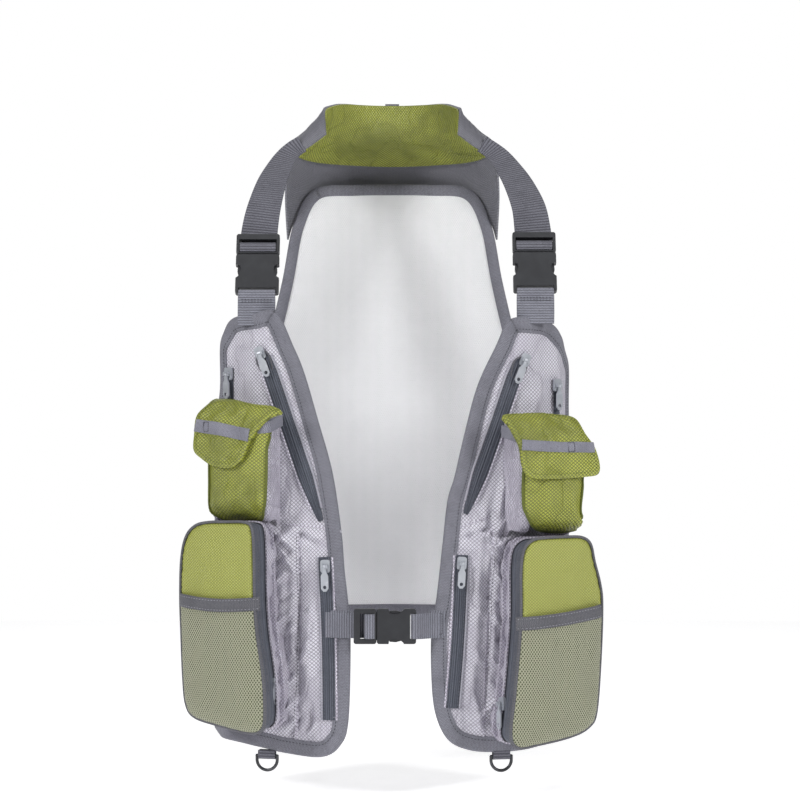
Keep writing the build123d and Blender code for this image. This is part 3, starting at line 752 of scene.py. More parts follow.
FOLDS = {
    "r": [((92, -432), (93, -640), 2.2, -1.6), ((98, -430), (99, -560), 6, 1.6),
          ((60, -425), (98, -455), 7, 1.8), ((76, -470), (84, -600), 8, 2.0),
          ((70, -440), (58, -500), 6, 1.5), ((100, -600), (94, -645), 5, 1.8),
          ((82, -610), (80, -645), 4, -1.6), ((104, -440), (112, -530), 7, 2.0),
          ((74, -520), (90, -560), 6, 1.4), ((108, -300), (90, -345), 8, 1.3),
          ((120, -270), (104, -330), 6, 1.0), ((88, -360), (104, -410), 7, 1.6),
          ((124, -425), (98, -446), 4, 2.6), ((90, -434), (62, -452), 4, -2.2),
          ((84, -432), (56, -444), 3.5, 2.2), ((112, -446), (96, -470), 4, 2.4),
          ((118, -540), (98, -528), 4, 2.0), ((118, -566), (100, -556), 4, -2.0),
          ((116, -590), (96, -578), 4, 2.2), ((112, -616), (94, -598), 4, 2.4),
          ((104, -640), (90, -616), 4, -2.2), ((88, -640), (74, -622), 4, 2.2),
          ((88, -560), (74, -540), 5, 1.8), ((86, -510), (74, -496), 5, -1.8)],
    "l": [((100, -425), (94, -640), 2.2, -1.6), ((88, -430), (84, -560), 6, 1.8),
          ((62, -420), (96, -440), 7, 1.8), ((76, -470), (80, -600), 8, 2.2),
          ((106, -450), (100, -560), 7, 2.0), ((84, -600), (92, -645), 5, 1.8),
          ((72, -610), (74, -645), 4, -1.5), ((110, -420), (96, -470), 6, 1.8),
          ((90, -500), (76, -540), 6, 1.5), ((112, -300), (98, -345), 8, 1.3),
          ((150, -280), (140, -320), 7, 1.2), ((96, -380), (80, -415), 6, 1.6),
          ((120, -436), (98, -448), 4, 2.6), ((94, -430), (66, -440), 4, -2.2),
          ((116, -420), (92, -436), 3.5, 2.4), ((86, -425), (60, -430), 3.5, 2.2),
          ((112, -380), (104, -430), 5, 2.4), ((100, -360), (92, -425), 4, 2.0),
          ((88, -390), (78, -432), 4, 2.0), ((104, -600), (84, -622), 4, 2.4),
          ((112, -620), (92, -644), 4, -2.2), ((90, -560), (76, -546), 5, 2.0),
          ((100, -520), (84, -508), 5, 1.8), ((74, -624), (58, -632), 3.5, 2.0)],
}
# pinches of cloth beside the lower pocket's zip, one under the other
for k in range(10):
    z, high = -444 - 20.5 * k, (2.3, -1.7)[k % 2]
    FOLDS["r"].append(((119, z), (97 + 4 * (k % 3), z + 13), 4.2, high))
    FOLDS["l"].append(((118, z - 6), (98 + 4 * (k % 3), z + 8), 4.2, high))
SEAMS = {
    "r": [[(92.5, -436), (91.5, -520), (93.5, -600), (96, -641)], [(50, -431), (72, -427), (104, -424)]],
    "l": [[(101, -432), (98, -500), (94, -570), (92, -641)], [(56, -430), (76, -424), (98, -416)]],
}
CHEST_TAPE = {"r": [(126.5, -257), (98.5, -340), (70.5, -421)], "l": [(127, -263), (100, -342), (74, -414)]}
SIDE_TAPE = {"r": [(161, -268), (161, -400)], "l": [(165, -284), (165, -412)]}
INNER_TAPE = {"r": [(66.5, -457), (63, -540), (62, -620)], "l": [(70, -455), (66, -540), (60.5, -608)]}
PATCH = {"r": (40.0, 61.0), "l": (37.5, 53.0)}  # the sewn end of the chest webbing
# binding's section round the edge: inwards from the edge, and up from the cloth
WRAP = [(14.6, -0.2), (14.4, 0.9), (13.4, 1.35), (10.5, 1.1), (7.5, 1.6), (3.5, 1.75), (0.8, 1.4),
        (-0.9, 0.2), (-1.3, -1.6), (-0.9, -3.6), (0.8, -5.0), (6, -5.4), (12, -5.2), (14.0, -4.9),
        (14.4, -4.0)]
SEAM_FOLD = [(-1.7, -0.6), (-1.5, 0.35), (-0.5, 0.6), (0.2, 0.55), (0.5, -0.1), (0.5, -0.6)]


def patch_rise(u, v, d):
    return 2.2 + 0.5 * step_up(d, 0, 1.5)


def leaf(t):
    # width of the chest zip along its length: a long leaf, narrow at the top
    return 0.32 + 0.68 * np.clip(np.sin(math.pi * np.clip(t * 0.86 + 0.14, 0, 1)) * 1.5, 0, 1) ** 0.8


def panel_zip(name, side, path, wide):
    line = PANEL.flat(side, path)
    chest = name == "chest"
    band(name + "_zip_tape", side, line, PANEL, zip_profile(wide, 1.5), TAPE, slot="zip_tape",
         replaces="zip_tapes" if chest else None, sharp=40, taper=leaf if chest else None)
    c = spline(line, 2.0)
    left = headings(c)[1]
    share = np.linspace(0, 1, len(c))
    w = (wide / 2 * (leaf(share) if chest else np.ones(len(c))))[:, None]
    room = w[:, 0] > 0.275 * wide  # the narrow end stays clear for the slider
    paths = [(c + left * k * (w - 1.6))[room] for k in (1, -1)]
    stitches(name + "_zip_stitches", side, paths, PANEL, DARK_THREAD, h=1.6, slot="zip_tape")
    if name == "side":
        return
    k = 1 if left[0, 0] > 0 else -1
    for tag, e in (("outer", k), ("inner", -k)):
        mat = PIPING if (tag == "outer") == (name == "inner") else GUSSET
        edge = (c + left * e * (w + 0.9))[room]
        band(f"{name}_zip_piping_{tag}", side, edge, PANEL, round_profile(1.3, 0.8), mat, slot="ripstop",
             ready=True)


for side in "rl":
    lower = [(END - 14, -641), (END - 3, -638), (END, -628), (END, -520), (END, -400), (END, -330)]
    outline = PANEL.flat(side, INNER_EDGE[side]) + lower + PANEL.flat(side, TOP_EDGE[side])
    loop = spline(outline, 2.5, closed=True)
    folds = [(PANEL.flat(side, [a, b]), w, h) for a, b, w, h in FOLDS[side]]
    seed = 3.0 if side == "r" else 11.0
    calm = []
    for path, wide in ((CHEST_TAPE, 11.0), (SIDE_TAPE, 7.0), (INNER_TAPE, 7.5)):
        c = np.array(PANEL.flat(side, path[side]))
        calm.append((np.vstack([c, c[::-1] + 0.01]), wide))

    def relief(u, v, d, folds=folds, seed=seed, calm=calm):
        h = 2.2 * rough(u, v, 30.0, seed, 2.2) + 1.5 * rough(u, v, 13.0, seed + 7, 2.6)
        h = 1.45 * (h + 0.5 * rough(u, v, 6.0, seed + 9)) * (0.5 + 0.8 * step_up(-v, 400, 470))
        for line, w, high in folds:
            h = h + 2.4 * crease(u, v, line, w * 0.7, high)
        h = h * step_up(d, 13, 27) + 0.5 * step_up(d, 12, 24)
        for line, wide in calm:
            h = h * step_up(-inside_distance(np.stack([u, v], 1), line), wide, wide + 14)
        return h

    cloth("panel_cloth", side, loop, PANEL, RIPSTOP, thick=4.2, height=relief, ready=True, slot="ripstop",
          replaces="panel")
    on_cloth = Over(PANEL, loop, relief)

    def pucker(s, o, seed=seed):
        if o < 1:
            return 0.0
        drift = np.array([noise.noise(Vector((x / 9, o / 7, seed))) for x in s])
        return 0.22 * np.sin(s * 2 * math.pi / 6.4) * (o / 14) + 0.3 * drift

    # the binding wraps the whole edge
    wrap = [(o * inward(loop), h) for o, h in WRAP]
    band("panel_binding", side, loop, PANEL, wrap, BINDING, closed=True, ready=True, wave=pucker,
         slot="binding", replaces="binding")
    stitches("binding_stitches", side, [spline(inset(loop, 11.0), 3.4)], PANEL, DARK_THREAD, h=1.35,
             ready=True, slot="binding")

    for name, path, wide in (("chest", CHEST_TAPE, 15.5), ("side", SIDE_TAPE, 8.0),
                             ("inner", INNER_TAPE, 13.5)):
        panel_zip(name, side, path[side], wide)
    # rounded window round the top of the chest zip
    hx, hz = CHEST_TAPE[side][0]
    window = [(3.6, 5), (7.5, 1.5), (7, -6), (2, -15), (-7, -13), (-6, -3), (-2.4, 4)]
    spot = PANEL.flat(side, [(hx + x, hz + z) for x, z in window])
    cloth("zip_window", side, spot, PANEL, TAPE, cell=1.6, thick=1.6, height=level(1.1), slot="zip_tape")
    band("zip_window_hem", side, spline(spot, 1.5, closed=True), PANEL, round_profile(1.0, 1.1), DARK_BAND,
         closed=True, ready=True, slot="zip_tape")
    # webbing patch where the chest strap is sewn on
    x0, x1, zc = *PATCH[side], -523.5
    patch = PANEL.flat(side, [(x0, zc + 13.2), (x1, zc + 13.2), (x1, zc - 13.2), (x0, zc - 13.2)])
    cloth("chest_patch", side, eased(patch, 1.6, 0.8), PANEL, WEB_LIGHT, cell=2.0, thick=1.6,
          height=patch_rise, ready=True, slot="webbing")
    corners = PANEL.flat(side, [(x0 + 4, zc + 10.5), (x1 - 3, zc + 10.5), (x1 - 3, zc - 10.5),
                                (x0 + 4, zc - 10.5)])
    frame_stitches("chest_patch_stitches", side, corners, PANEL, DARK_THREAD, h=2.9, every=2.6, long=1.9,
                   slot="webbing")

    for i, seam in enumerate(SEAMS[side]):
        line = spline(PANEL.flat(side, seam), 3.0)
        band(f"panel_seam_{i}", side, line, on_cloth, SEAM_FOLD, GUSSET, ready=True, slot="ripstop")
        stitches(f"panel_seam_stitches_{i}", side, [line + np.array([2.2, 0])], on_cloth, DARK_THREAD,
                 h=0.15, r=0.3, slot="ripstop")

# ---------------------------------------------------------------- upper pockets
POUCH = {"r": [(111, 192.08), (122, 228), (184, 198), (148, 176.8)],
         "l": [(112, 191.88), (130, 227), (193, 196), (152, 173.68)]}
POUCH_HIGH = {"r": -303.0, "l": -314.0}
GUSSET_LOW = {"r": -421.0, "l": -432.0}
FRONT_OUT = {
    "r": [(123.5, -322), (124.5, -350), (125.5, -385), (128, -410), (132, -421), (150, -421), (168, -417),
          (176, -409), (180.5, -385), (183.5, -350), (184.5, -325), (150, -322)],
    "l": [(131.5, -333), (132, -360), (131, -395), (135, -414), (146, -430), (159, -432), (178, -423),
          (189, -412), (193.5, -380), (196, -345), (194, -333), (160, -332)],
}
FLAP_CUT = {
    "r": [(183.5, -304), (172.5, -299), (142.5, -303), (119.5, -306), (110, -312), (121.5, -317),
          (132, -327), (142.5, -342), (147, -353), (152, -362), (161, -368.5), (178.5, -366), (191, -358),
          (198, -350), (197.5, -334), (195, -316)],
    "l": [(111.5, -315), (135, -313), (161.5, -314), (181.5, -317), (193.5, -333), (204.5, -350),
          (208, -372), (193.5, -377), (150.5, -379), (138, -376), (131.5, -366), (128.5, -347),
          (120.5, -330)],
}
FLAP_STRIP = {"r": [(195.4, -325.5), (184, -327.5), (168, -330), (154, -333), (142, -335.5)],
              "l": [(130, -345), (150, -346.5), (178, -347.5), (202, -347.5)]}
FLAP_SECTION = [(-31, -1), (-22, 0.5), (-10, -1.5), (-1, -8), (5, -22), (8.5, -42), (11, -66)]
cuts = {}

for side in "rl":
    seed = 21.0 if side == "r" else 33.0
    corner, high, low = POUCH[side], POUCH_HIGH[side], GUSSET_LOW[side]
    pouch = Wall(corner, 4.5, low=(low + 22, low - 1, 0.12))
    d1, d2 = math.dist(corner[0], corner[1]), math.dist(corner[1], corner[2])

    def puff(u, v, d, seed=seed, high=high, low=low, d1=d1, d2=d2):
        t = np.clip((v - low) / (high - 30 - low), 0, 1)
        p = np.clip((u - d1) / d2, 0, 1)
        h = 5.0 * np.sin(math.pi * p) ** 0.7 * np.sin(math.pi * t * 0.8 + 0.3)
        h = h + 4.2 * rough(u, v, 21.0, seed, 1.6) + 1.7 * rough(u, v, 10.0, seed + 3, 1.3)
        return h * step_up(d, 0, 9) + 1.2 * step_up(d, 0, 3)

    front = pouch.flat(side, FRONT_OUT[side], 2.0)
    cloth("pouch_front", side, front, pouch, GREEN, cell=2.6, thick=1.6, height=puff, slot="green_cloth",
          replaces="upper_pocket")
    band("pouch_seam", side, spline(front, 2.5, closed=True), pouch, round_profile(1.1, 0.9), GREEN_THREAD,
         closed=True, ready=True, slot="green_cloth")

    def crumple(u, v, d, seed=seed):
        ribs = 5.0 * np.abs(rough(u * 0.5, v, 12.0, seed + 5, 0.8))
        ribs = ribs + 2.6 * np.abs(rough(u * 0.4, v, 6.0, seed + 6, 0.7))
        return ribs * step_up(d, 3, 13) - 0.6

    inner = [(-1, high - 15), (d1 * 0.5, high - 19), (d1 + 2, high - 22), (d1 + 4, low + 40),
             (d1 + 7, low + 5), (d1 + 2, low), (d1 * 0.4, low + 2), (-1, low + 3)]
    cloth("pouch_gusset_in", side, inner, pouch, GUSSET, cell=2.2, thick=1.6, height=crumple,
          slot="ripstop")
    e0, e1 = d1 + d2 - 3, pouch.s[-1] + 1
    outer = [(e0, high - 22), (e1, high - 15), (e1, low + 3), (e0 - 3, low), (e0 - 5, low + 30)]
    cloth("pouch_gusset_out", side, outer, pouch, GUSSET, cell=2.6, thick=1.6, height=crumple,
          slot="ripstop")
    # hem of the mouth
    mouth = [(-1, high - 17), (d1 * 0.6, high - 21), (d1 + 2, high - 24), (d1 + 20, high - 26),
             (d1 + d2 * 0.6, high - 26)]
    band("pouch_mouth", side, mouth, pouch, flat_profile(12, 2.6, -1.6), STRIP, slot="binding")
    paths = [[(d1 - 4, high - 30), (d1 - 3, low + 30), (d1, low + 10)], [(4, high - 30), (4, low + 12)]]
    stitches("pouch_gusset_stitches", side, paths, pouch, THREAD, h=1.6, slot="ripstop")

    # flap
    fold = Fold(corner[1], corner[2], FLAP_SECTION, high + 2)
    cut = fold.flat(side, FLAP_CUT[side])
    loop = cuts["flap_" + side] = spline(cut, 2.4, closed=True)

    def flap_relief(u, v, d, seed=seed):
        h = 3.2 * rough(u, v, 22.0, seed + 8, 1.2) + 2.2 * rough(u, v, 10.0, seed + 9)
        h = h + 0.6 * rough(u, v, 5.0, seed + 2)
        return h * step_up(d, 1, 10) + 1.6 * np.sqrt(np.clip(d / 3.5, 0, 1))

    cloth("flap_shell", side, cut, fold, GREEN, body="flap", cell=2.4, thick=3.2, height=flap_relief,
          slot="green_cloth", replaces="flap")
    on_flap = Over(fold, loop, flap_relief)
    strip_line = fold.flat(side, FLAP_STRIP[side])
    strip_wide, middle = (12.5, 1) if side == "r" else (10.5, 2)
    band("flap_strip", side, strip_line, on_flap, flat_profile(strip_wide, 1.3, -0.6), STRIP, body="flap",
         slot="binding")
    rim = inset(spline(cut, 2.0, closed=True), 4.5)
    stitches("flap_stitches", side, [rim], on_flap, GREEN_THREAD, body="flap", h=0.2, slot="green_cloth")
    mx, mz = strip_line[middle]
    box = [(mx - 3, mz + 4.5), (mx + 3, mz + 4.5), (mx + 3, mz - 4.5), (mx - 3, mz - 4.5)]
    frame_stitches("flap_box_stitches", side, box, on_flap, DARK_THREAD, body="flap", h=1.5, every=2.2,
                   long=1.7, slot="binding")

# ---------------------------------------------------------------- lower pockets
TRAY = {"r": [(125, 226), (200, 188)], "l": [(116, 226), (199, 188)]}
LID_CUT = {
    "r": [(210.5, -495), (209.5, -459), (205, -437), (196, -426), (183.5, -422.5), (165, -422),
          (146, -422.5), (139.5, -429), (137.5, -454), (137, -496), (134.5, -534), (128.5, -579),
          (127, -618), (131.5, -631), (145.5, -632), (172.5, -625), (196, -617), (204.5, -605),
          (207.5, -579), (209.5, -530)],
    "l": [(129.5, -514), (129.5, -471), (132.5, -450), (141, -440.5), (154.5, -438), (175, -437),
          (190, -437.5), (198.5, -444), (202.5, -462), (208, -484), (210, -505), (208.5, -555),
          (204.5, -610), (197.5, -626), (179.5, -636), (143.5, -645), (126, -647), (119.5, -634),
          (123.5, -596), (127.5, -550)],
}
MESH_TOP = {"r": [(214, -500), (176, -505), (136, -504.5)], "l": [(128.5, -525), (170, -519), (211, -511)]}
# the lid's front edge and the pocket's base, out and in from the upright plane of the zip
FACE_OUT, DEEP = 19.0, 46.0
LID = "pocket_front"  # the body that opens
half = FACE_OUT / 2
LID_SIDE = [(-half + 1.4, -2.0), (-half + 2.0, -1.3), (-half + 4, -1.6), (0, -0.2), (half - 2.2, 0.5),
            (half - 0.6, 1.3), (half + 0.9, 0.9), (half + 0.9, -1.2), (0, -1.9), (-half + 1.4, -3.6)]
TRAY_ZIP = [(-4.6, -4.6), (-4.4, -2.9), (-1.0, -2.9), (1.2, -2.8), (2.2, -1.9), (3.8, -1.7), (4.6, -2.2),
            (4.6, -4.2)]
SKIN = [(float(o), 0.0) for o in np.linspace(-DEEP, -6.0, 12)]


def hollow(u, v, d):
    # inside of the lid
    return 11.0 + 5 * step_up(d, 0, 20)


for side in "rl":
    seed = 51.0 if side == "r" else 67.0
    a, b = np.array(TRAY[side])
    along = (b - a) / np.linalg.norm(b - a)
    plane = Wall([a - 30 * along, b + 40 * along], 1.0)
    lid_loop = spline(plane.flat(side, LID_CUT[side], FACE_OUT), 2.5, closed=True)
    if twice_area(lid_loop) > 0:
        lid_loop = lid_loop[::-1]
    rim = Rim(plane, lid_loop)

    def dome(u, v, d, seed=seed):
        h = 5.2 * np.sqrt(np.clip(1 - (1 - np.clip(d / 7.0, 0, 1)) ** 2, 0, 1)) + 3.2 * step_up(d, 4, 34)
        uneven = 0.7 * rough(u, v, 26.0, seed) + 0.3 * rough(u, v, 10.0, seed + 1)
        return FACE_OUT - 1.5 + h + uneven * step_up(d, 3, 12)

    cloth("lid_face", side, lid_loop, plane, MOULDED, body=LID, thick=2.2, height=dome, ready=True,
          slot="moulded_green", replaces="pocket_front")

    def around(name, depth, profile, mat, rim=rim, **kw):
        count = int(rim.s[-1] / 2.5)
        line = [(rim.s[-1] * i / count, depth) for i in range(count + 1)]
        band(name, side, line, rim, profile, mat, ready=True, **kw)

    def sag(s, o, seed=seed):
        t = np.clip(-o / DEEP, 0, 1)
        slow = np.array([noise.noise(Vector((x / 16, o / 30, seed + 4))) for x in s])
        fine = np.array([noise.noise(Vector(((x + 0.5 * o) / 8, o / 40, seed + 5))) for x in s])
        still = float(np.clip((-o - 9.5) / 9, 0, 1))
        rise = (4.4 * slow + 3.6 * fine) * still
        return rise * np.sin(math.pi * np.clip(0.25 + t * 0.8, 0, 1)) - 4.4 * still

    # side of the lid, a ridge of cord at its front edge, and the pocket's base from the zip to the panel
    around("lid_zip_side", FACE_OUT / 2, LID_SIDE, TAPE, body=LID, slot="zip_tape")
    around("lid_cord", FACE_OUT + 0.6, round_profile(1.5, 0.2), DARK_BAND, body=LID, slot="binding")
    around("tray_gusset", 0.0, SKIN + [(o, h - 1.6) for o, h in reversed(SKIN)], GUSSET, wave=sag,
           slot="ripstop", replaces="lower_pocket")
    around("tray_zip_tape", -4.0, TRAY_ZIP, TAPE, slot="zip_tape")
    # linings, which show when the pocket is open
    cloth("tray_lining", side, lid_loop, plane, GUSSET, cell=6.0, thick=1.0, height=level(-20.0),
          ready=True, slot="ripstop")
    cloth("lid_lining", side, lid_loop, plane, DARK_BAND, body=LID, cell=6.0, thick=1.0, height=hollow,
          ready=True, slot="moulded_green")

    # net pocket: the lid's outline below the band, grown a little
    top = sorted(plane.flat(side, MESH_TOP[side], 27.0))
    xs, zs = zip(*top)
    keep = [tuple(p) for p in lid_loop if p[1] < np.interp(p[0], xs, zs) - 3]
    centre = np.array(keep).mean(0)
    start = max(range(len(keep)), key=lambda i: math.dist(keep[i], keep[i - 1]))
    keep = keep[start:] + keep[:start]
    away = np.array(keep) - centre
    grow = np.array(keep) + away / np.linalg.norm(away, axis=1)[:, None] * 0.8
    line = spline(sorted(top, key=lambda p: math.dist(p, keep[-1])), 3.0)
    mesh_loop = cuts["mesh_" + side] = np.vstack([grow, line])

    def net_relief(u, v, d, seed=seed, lid_loop=lid_loop, dome=dome):
        lid_d = inside_distance(np.stack([u.ravel(), v.ravel()], 1), lid_loop).reshape(u.shape)
        h = dome(u, v, np.maximum(lid_d, 0)) + 1.6 + 2.6 * step_up(lid_d, 0, 16)
        ripple = 1.5 * rough(0.8 * u + 0.6 * v, 0.8 * v - 0.6 * u, 15.0, seed + 2, 2.2)
        ripple = ripple + 0.8 * rough(u, v, 9.0, seed + 3, 1.6)
        return h + ripple * step_up(lid_d, 2, 14)

    def on_net(u, v, h, plane=plane, relief=net_relief):
        u, v, h = arrays(u, v, h)
        return plane(u, v, h + relief(u, v, None))

    cloth("mesh_front", side, mesh_loop, plane, NET, body=LID, cell=2.8, thick=1.0, height=net_relief,
          ready=True, slot="mesh", replaces="mesh_pocket")
    band("mesh_band", side, line, on_net, flat_profile(13, 1.5, -1.0), DARK_BAND, body=LID, slot="binding")
    rows = [line + np.array([0, e]) for e in (4.6, -4.6)]
    stitches("mesh_band_stitches", side, rows, on_net, THREAD, body=LID, h=1.7, slot="binding")
    band("mesh_hem", side, grow, on_net, round_profile(1.3, -0.6), DARK_BAND, body=LID, ready=True,
         slot="binding")

# ---------------------------------------------------------------- straps
# each row of a strap is (middle point, outward direction, width)
SHOULDER = {"r": (136.0, 160.2, -153.0), "l": (145.0, 160.0, -151.0)}
UP, OUT = np.array([0, -0.397, 0.9178]), np.array([0, 0.9178, 0.397])  # along and off the shoulder webbing
SHIFT = -6.2  # the webbing passes this far behind the buckle's middle
WEB = 25.4  # width of the narrow webbing
SIDE_ROWS = [((184.2, 124, -470), (1, 0.05, 0)), ((185, 100, -470), (1, 0, 0)),
             ((184.4, 60, -471), (1, -0.05, 0)), ((175, 28, -471), (0.95, -0.3, 0)),
             ((162, 4, -470), (0.92, -0.4, 0)), ((150, -14, -470), (0.7, -0.7, 0)),
             ((134, -25, -470), (0.4, -0.9, 0))]
for side in "rl":
    at = np.array(SHOULDER[side])
    dx = at[0] - 136.0

    def on(up, out, wide, way=OUT, sideways=0.0, at=at):
        # a row at so much along and off the webbing's line
        return at + UP * up + OUT * out + (sideways, 0, 0), way, wide

    rows = [on(-7, SHIFT, 38), on(15, SHIFT, 38), on(34, SHIFT, 37, sideways=-1.0),
            on(58, SHIFT, 35, (0.05, 0.9, 0.43), -4.5)]
    rows += [((125 + dx * 0.7, 110, -75), (0.12, 0.82, 0.56), 32),
             ((118 + dx * 0.4, 92, -57), (0.12, 0.82, 0.56), 28),
             ((111 + dx * 0.2, 79, -44), (0.1, 0.86, 0.5), 24), ((103, 71.5, -35), (0.1, 0.9, 0.42), 21),
             ((95, 70, -30), (0.1, 0.92, 0.4), 20)]
    strap("shoulder_webbing", side, rows, WEBBING, replaces="shoulder_strap")
    # loop round the plug's bar
    rows = [on(3.2, 2.6, 36.4), on(4.2, 5.2, 36.4), on(7.6, 5.2, 36.6),
            on(11.4, 4.6, 36.6, OUT * 0.9 + UP * 0.4), on(12.6, 0.5, 36.6, UP),
            on(11.6, -4.0, 36.6, UP - OUT)]
    strap("plug_loop", side, rows, WEBBING, body="shoulder_plug", thick=1.6, step=1.5)
    # webbing from the socket down to the panel
    low = -44
    rows = [on(low + 3.4, 2.5, 36.5), on(low + 2.0, 4.9, 37), on(low - 1.8, 4.4, 37.5),
            on(low - 8, 1.2, 38), on(low - 15, -1.0, 38, OUT * 0.97 + UP * 0.1), on(low - 22, -3.0, 38),
            on(low - 32, -6.0, 37.5)]
    strap("shoulder_web_low", side, rows, WEB_LIGHT, replaces="shoulder_web", step=2.5)

    def on_web(u, v, h, origin=at + UP * low):
        u, v, h = arrays(u, v, h)
        return origin + u[..., None] * np.array([1, 0, 0]) + v[..., None] * UP + (h[..., None] + 2.2) * OUT

    paths = [[(-16, v), (16, v)] for v in (-7, -9.6)]
    stitches("shoulder_web_stitches", side, paths, on_web, DARK_THREAD, h=0.3, slot="webbing")
    strap("side_webbing", side, [(*row, WEB) for row in SIDE_ROWS], WEBBING, replaces="side_strap")

# chest strap: (out, forward, width), at one height and facing forward
CHEST_Z = -524.5
CHEST = {
    "r": [(-66, 203.5, 25.4), (-58, 206, 25.4), (-48, 210, 25.4), (-38, 212.2, 25), (-25, 212.3, 24.6),
          (-17, 212.6, 24.6)],
    "l": [(19.8, 220.6, 24.2), (21.2, 222.8, 24.6), (25.5, 222.4, 25), (31, 218, 25.4), (38, 212.6, 25.4),
          (47, 208.8, 25.4)],
}
for tag, line in CHEST.items():
    rows = [((x, f, CHEST_Z), (0, 1, 0), w) for x, f, w in line]
    strap("chest_webbing_" + tag, None, rows, WEB_LIGHT, replaces="chest_web_" + tag, step=2.0)
PLUG_LOOP = [(-17.0, 221.2, 0, 1, 24.2), (-18.4, 222.9, 0, 1, 24.4), (-22, 223.0, 0, 1, 24.6),
             (-25.2, 222.4, -0.5, 1, 24.6), (-26.6, 218, -1, 0, 24.6), (-25.6, 214.2, -1, -1, 24.6)]
rows = [((x, f, CHEST_Z), (dx, df, 0), w) for x, f, dx, df, w in PLUG_LOOP]
strap("chest_plug_loop", None, rows, WEB_LIGHT, body="chest_plug", thick=1.5, step=1.2)

# ring tabs: webbing folded round the ring under the panel
TAB_X = {"r": 125.5, "l": 110.5}
TAB = [(-2.6, 6.0), (-3.0, 2.0), (-2.4, -1.6), (0, -2.9), (2.4, -1.6), (3.0, 2.0), (2.6, 6.0)]
for side in "rl":
    rows = []
    for h, z in TAB:
        p, q = PANEL(PANEL.along(TAB_X[side]), -657.5 + z, np.array([h - 2.0, h - 1.0]))
        out = (q - p) * h + np.array([0, 0, -3.0 if z < 0 else 0])
        rows.append((p, out / (np.linalg.norm(out) + 1e-9), 17.5))
    strap("ring_loop", side, rows, WEBBING, thick=1.1, step=0.8, replaces="ring_tab")

# ---------------------------------------------------------------- collar and back
SHELL_ROWS = [
    [(0, 0, 19), (0, -2, 3), (0, -9, -14), (0, -26, -28), (0, -47, -41)],
    [(32, 7, 19), (34, 4, 3), (38, -2, -14), (49, -18, -27), (62, -32, -40)],
    [(54, 23, 18), (57, 19, 4), (63, 12, -9), (78, 2, -24), (93, -9, -38)],
    [(68, 42, 12), (71, 39, 3), (78, 35, -8), (93, 27, -22), (108, 20, -33)],
    [(71, 55, 6), (75, 54, 0), (83, 50, -8), (96, 45, -19), (109, 42, -28)],
    [(70, 66, -8), (76, 65, -14), (84, 65, -20), (95, 65, -29), (105, 66, -36)],
    [(69, 70, -20), (76, 70, -25), (84, 70, -31), (95, 70, -38), (104, 70, -44)],
]


def collar_bump(u, v):
    return 0.7 * rough(u, v, 20.0, 81.0) + 0.4 * rough(u, v, 8.0, 82.0)


loft("collar_shell", SHELL_ROWS, COLLAR, thick=3.0, cell=3.0, bump=collar_bump, slot="collar_cloth",
     replaces="collar")
loft("collar_lining", SHELL_ROWS, GREEN, thick=1.6, lift=1.9, slot="green_cloth")

YOKE_ROWS = [
    [(0, -45, -38), (0, -51, -46), (0, -53, -58), (0, -52.5, -72)],
    [(40, -39, -38), (42, -46, -46), (44, -50, -58), (45, -49.5, -74)],
    [(76, -24, -37), (80, -31, -46), (84, -40, -62), (86, -44, -82)],
    [(97, -2, -36), (102, -8, -47), (106, -22, -72), (107, -37, -104)],
    [(108, 22, -32), (112, 14, -42), (115, -6, -78), (114, -34, -124)],
]
loft("back_yoke", YOKE_ROWS, COLLAR, slot="collar_cloth")

BACK = Wall([(150, -12), (105, -34), (0, -46), (-105, -34), (-150, -12)], 12.0)
BACK_EDGE = [(-86, -70), (-108, -108), (-120, -170), (-138, -250), (-147, -300), (-148, -400), (-148, -505),
             (-135, -526), (-105, -535), (0, -536)]
BACK_EDGE = BACK_EDGE + [(-x, z) for x, z in BACK_EDGE[-2::-1]] + [(40, -64), (-40, -64)]
back_loop = spline([(float(BACK.along(x)), z) for x, z in BACK_EDGE], 3.5, closed=True)


def back_relief(u, v, d):
    return (1.6 * rough(u, v, 40.0, 91.0, 1.6) + 0.6 * rough(u, v, 15.0, 92.0)) * step_up(d, 4, 25)


def pocket_relief(u, v, d):
    rise = 13.0 * np.sqrt(np.clip(1 - (1 - np.clip(d / 22.0, 0, 1)) ** 2, 0, 1))
    return rise + 1.4 * rough(u, v, 30.0, 95.0, 1.4) * step_up(d, 2, 20)


cloth("back_net_panel", None, back_loop, BACK, BACK_NET, cell=5.0, thick=3.6, height=back_relief,
      ready=True, slot="back_mesh", replaces="back_panel")
BACK_WRAP = [(11, -0.2), (10.8, 0.9), (10, 1.3), (1, 1.4), (-0.8, 0.2), (-1.1, -1.6), (-0.8, -3.4),
             (1, -4.6), (10, -4.8), (11, -4.0)]
wrap = [(o * inward(back_loop), h) for o, h in BACK_WRAP]
band("back_binding", None, back_loop, BACK, wrap, BINDING, closed=True, ready=True, slot="binding")
POCKET = [(-103, -318), (0, -318), (103, -318), (105, -330), (105, -450), (99, -461), (80, -465), (0, -465),
          (-80, -465), (-99, -461), (-105, -450), (-105, -330)]
pocket_loop = eased([(float(BACK.along(x)), z) for x, z in POCKET], 5, 1.0)
cloth("back_pouch", None, pocket_loop, BACK, RIPSTOP, cell=4.0, thick=2.0, height=pocket_relief, ready=True,
      slot="ripstop", replaces="back_pocket")
hem = [(float(BACK.along(x)), -322) for x in (-101, -50, 0, 50, 101)]
band("back_pouch_hem", None, hem, BACK, flat_profile(14, 9.0, 0.0, 1.5), BINDING, slot="binding")
band("back_pouch_seam", None, pocket_loop[::3], BACK, round_profile(1.6, 0.8), BINDING, closed=True,
     ready=True, slot="binding")
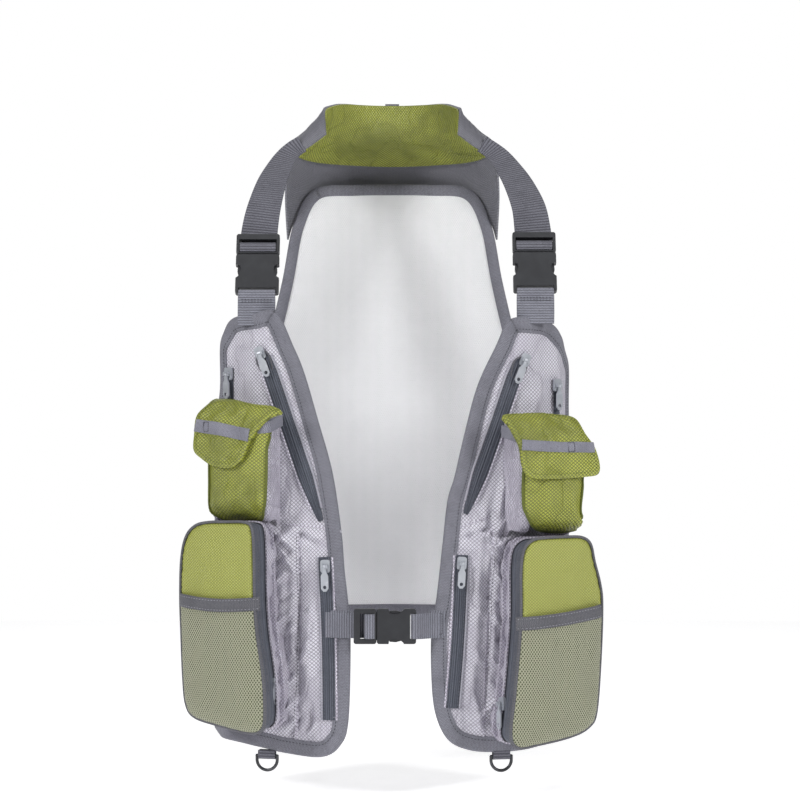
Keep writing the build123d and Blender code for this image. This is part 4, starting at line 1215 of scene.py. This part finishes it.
NECK = [(-6.0, -9, -1, 0), (-9.4, -2, -1, 0), (-9.8, 8, -1, 0), (-9.2, 17, -1, 0), (-6.6, 21.5, -0.4, 1),
        (-4.6, 19, 1, 0.4)]
rows = [((0, f, z), (0, df, dz), 15) for f, z, df, dz in NECK]
strap("neck_loop", None, rows, WEBBING, thick=1.4, step=2.0, replaces="hang_loop")


for side in "rl":
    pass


# ---------------------------------------------------------------- stage
def plane_mesh(name, half, z):
    mesh = bpy.data.meshes.new(name)
    mesh.from_pydata([(-half, -half, z), (half, -half, z), (half, half, z), (-half, half, z)], [],
                     [(0, 1, 2, 3)])
    obj = bpy.data.objects.new(name, mesh)
    bpy.context.scene.collection.objects.link(obj)
    return obj


floor = plane_mesh("floor", 1.7, -0.70)
pale = Paint("pale_floor", 0.9)
mottle = pale.noise(1.5, 2.0)
pale.b.inputs["Emission Color"].default_value = (1, 1, 1, 1)
pale.b.inputs["Emission Strength"].default_value = 0.5
floor.data.materials.append(pale.done(pale.mix(mottle, srgb(244, 244, 245), srgb(248, 248, 249)), mottle,
                                      0.02))

world_data = bpy.data.worlds.new("studio")
bpy.context.scene.world = world_data
world_data.use_nodes = True
tree = world_data.node_tree
seen, lit = tree.nodes["Background"], tree.nodes.new("ShaderNodeBackground")
seen.inputs[1].default_value, lit.inputs[1].default_value = 1.0, 0.17
seen.inputs[0].default_value = lit.inputs[0].default_value = (1, 1, 1, 1)
ray, pick = tree.nodes.new("ShaderNodeLightPath"), tree.nodes.new("ShaderNodeMixShader")
tree.links.new(ray.outputs["Is Camera Ray"], pick.inputs[0])
tree.links.new(lit.outputs[0], pick.inputs[1])
tree.links.new(seen.outputs[0], pick.inputs[2])
tree.links.new(pick.outputs[0], tree.nodes["World Output"].inputs["Surface"])


def lamp(name, at, target, size, power, color=(1, 1, 1)):
    data = bpy.data.lights.new(name, "AREA")
    data.shape = "RECTANGLE"
    data.size, data.size_y = size
    data.energy = power
    data.color = color
    obj = bpy.data.objects.new(name, data)
    obj.location = at
    obj.rotation_euler = (Vector(target) - Vector(at)).to_track_quat("-Z", "Y").to_euler()
    bpy.context.scene.collection.objects.link(obj)


lamp("key_left", (-1.9, -1.9, 0.9), (0, -0.1, -0.35), (0.5, 0.8), 43)
lamp("key_right", (1.9, -1.6, 0.6), (0, -0.1, -0.35), (0.5, 0.8), 31)
lamp("top", (0.0, -0.8, 1.9), (0, -0.1, -0.35), (1.6, 1.0), 17)
lamp("rear", (0.0, 2.2, 1.0), (0, 0, -0.3), (2.0, 1.4), 9)

cam = bpy.data.cameras.new("camera")
cam.lens, cam.sensor_width = 105.75, 36
camera = bpy.data.objects.new("camera", cam)
camera.location = (VIEW_X * MM, -VIEW_F * MM, VIEW_Z * MM)
camera.rotation_euler = (math.radians(90), 0, 0)
bpy.context.scene.collection.objects.link(camera)
bpy.context.scene.camera = camera
bpy.context.scene.view_settings.view_transform = "Standard"
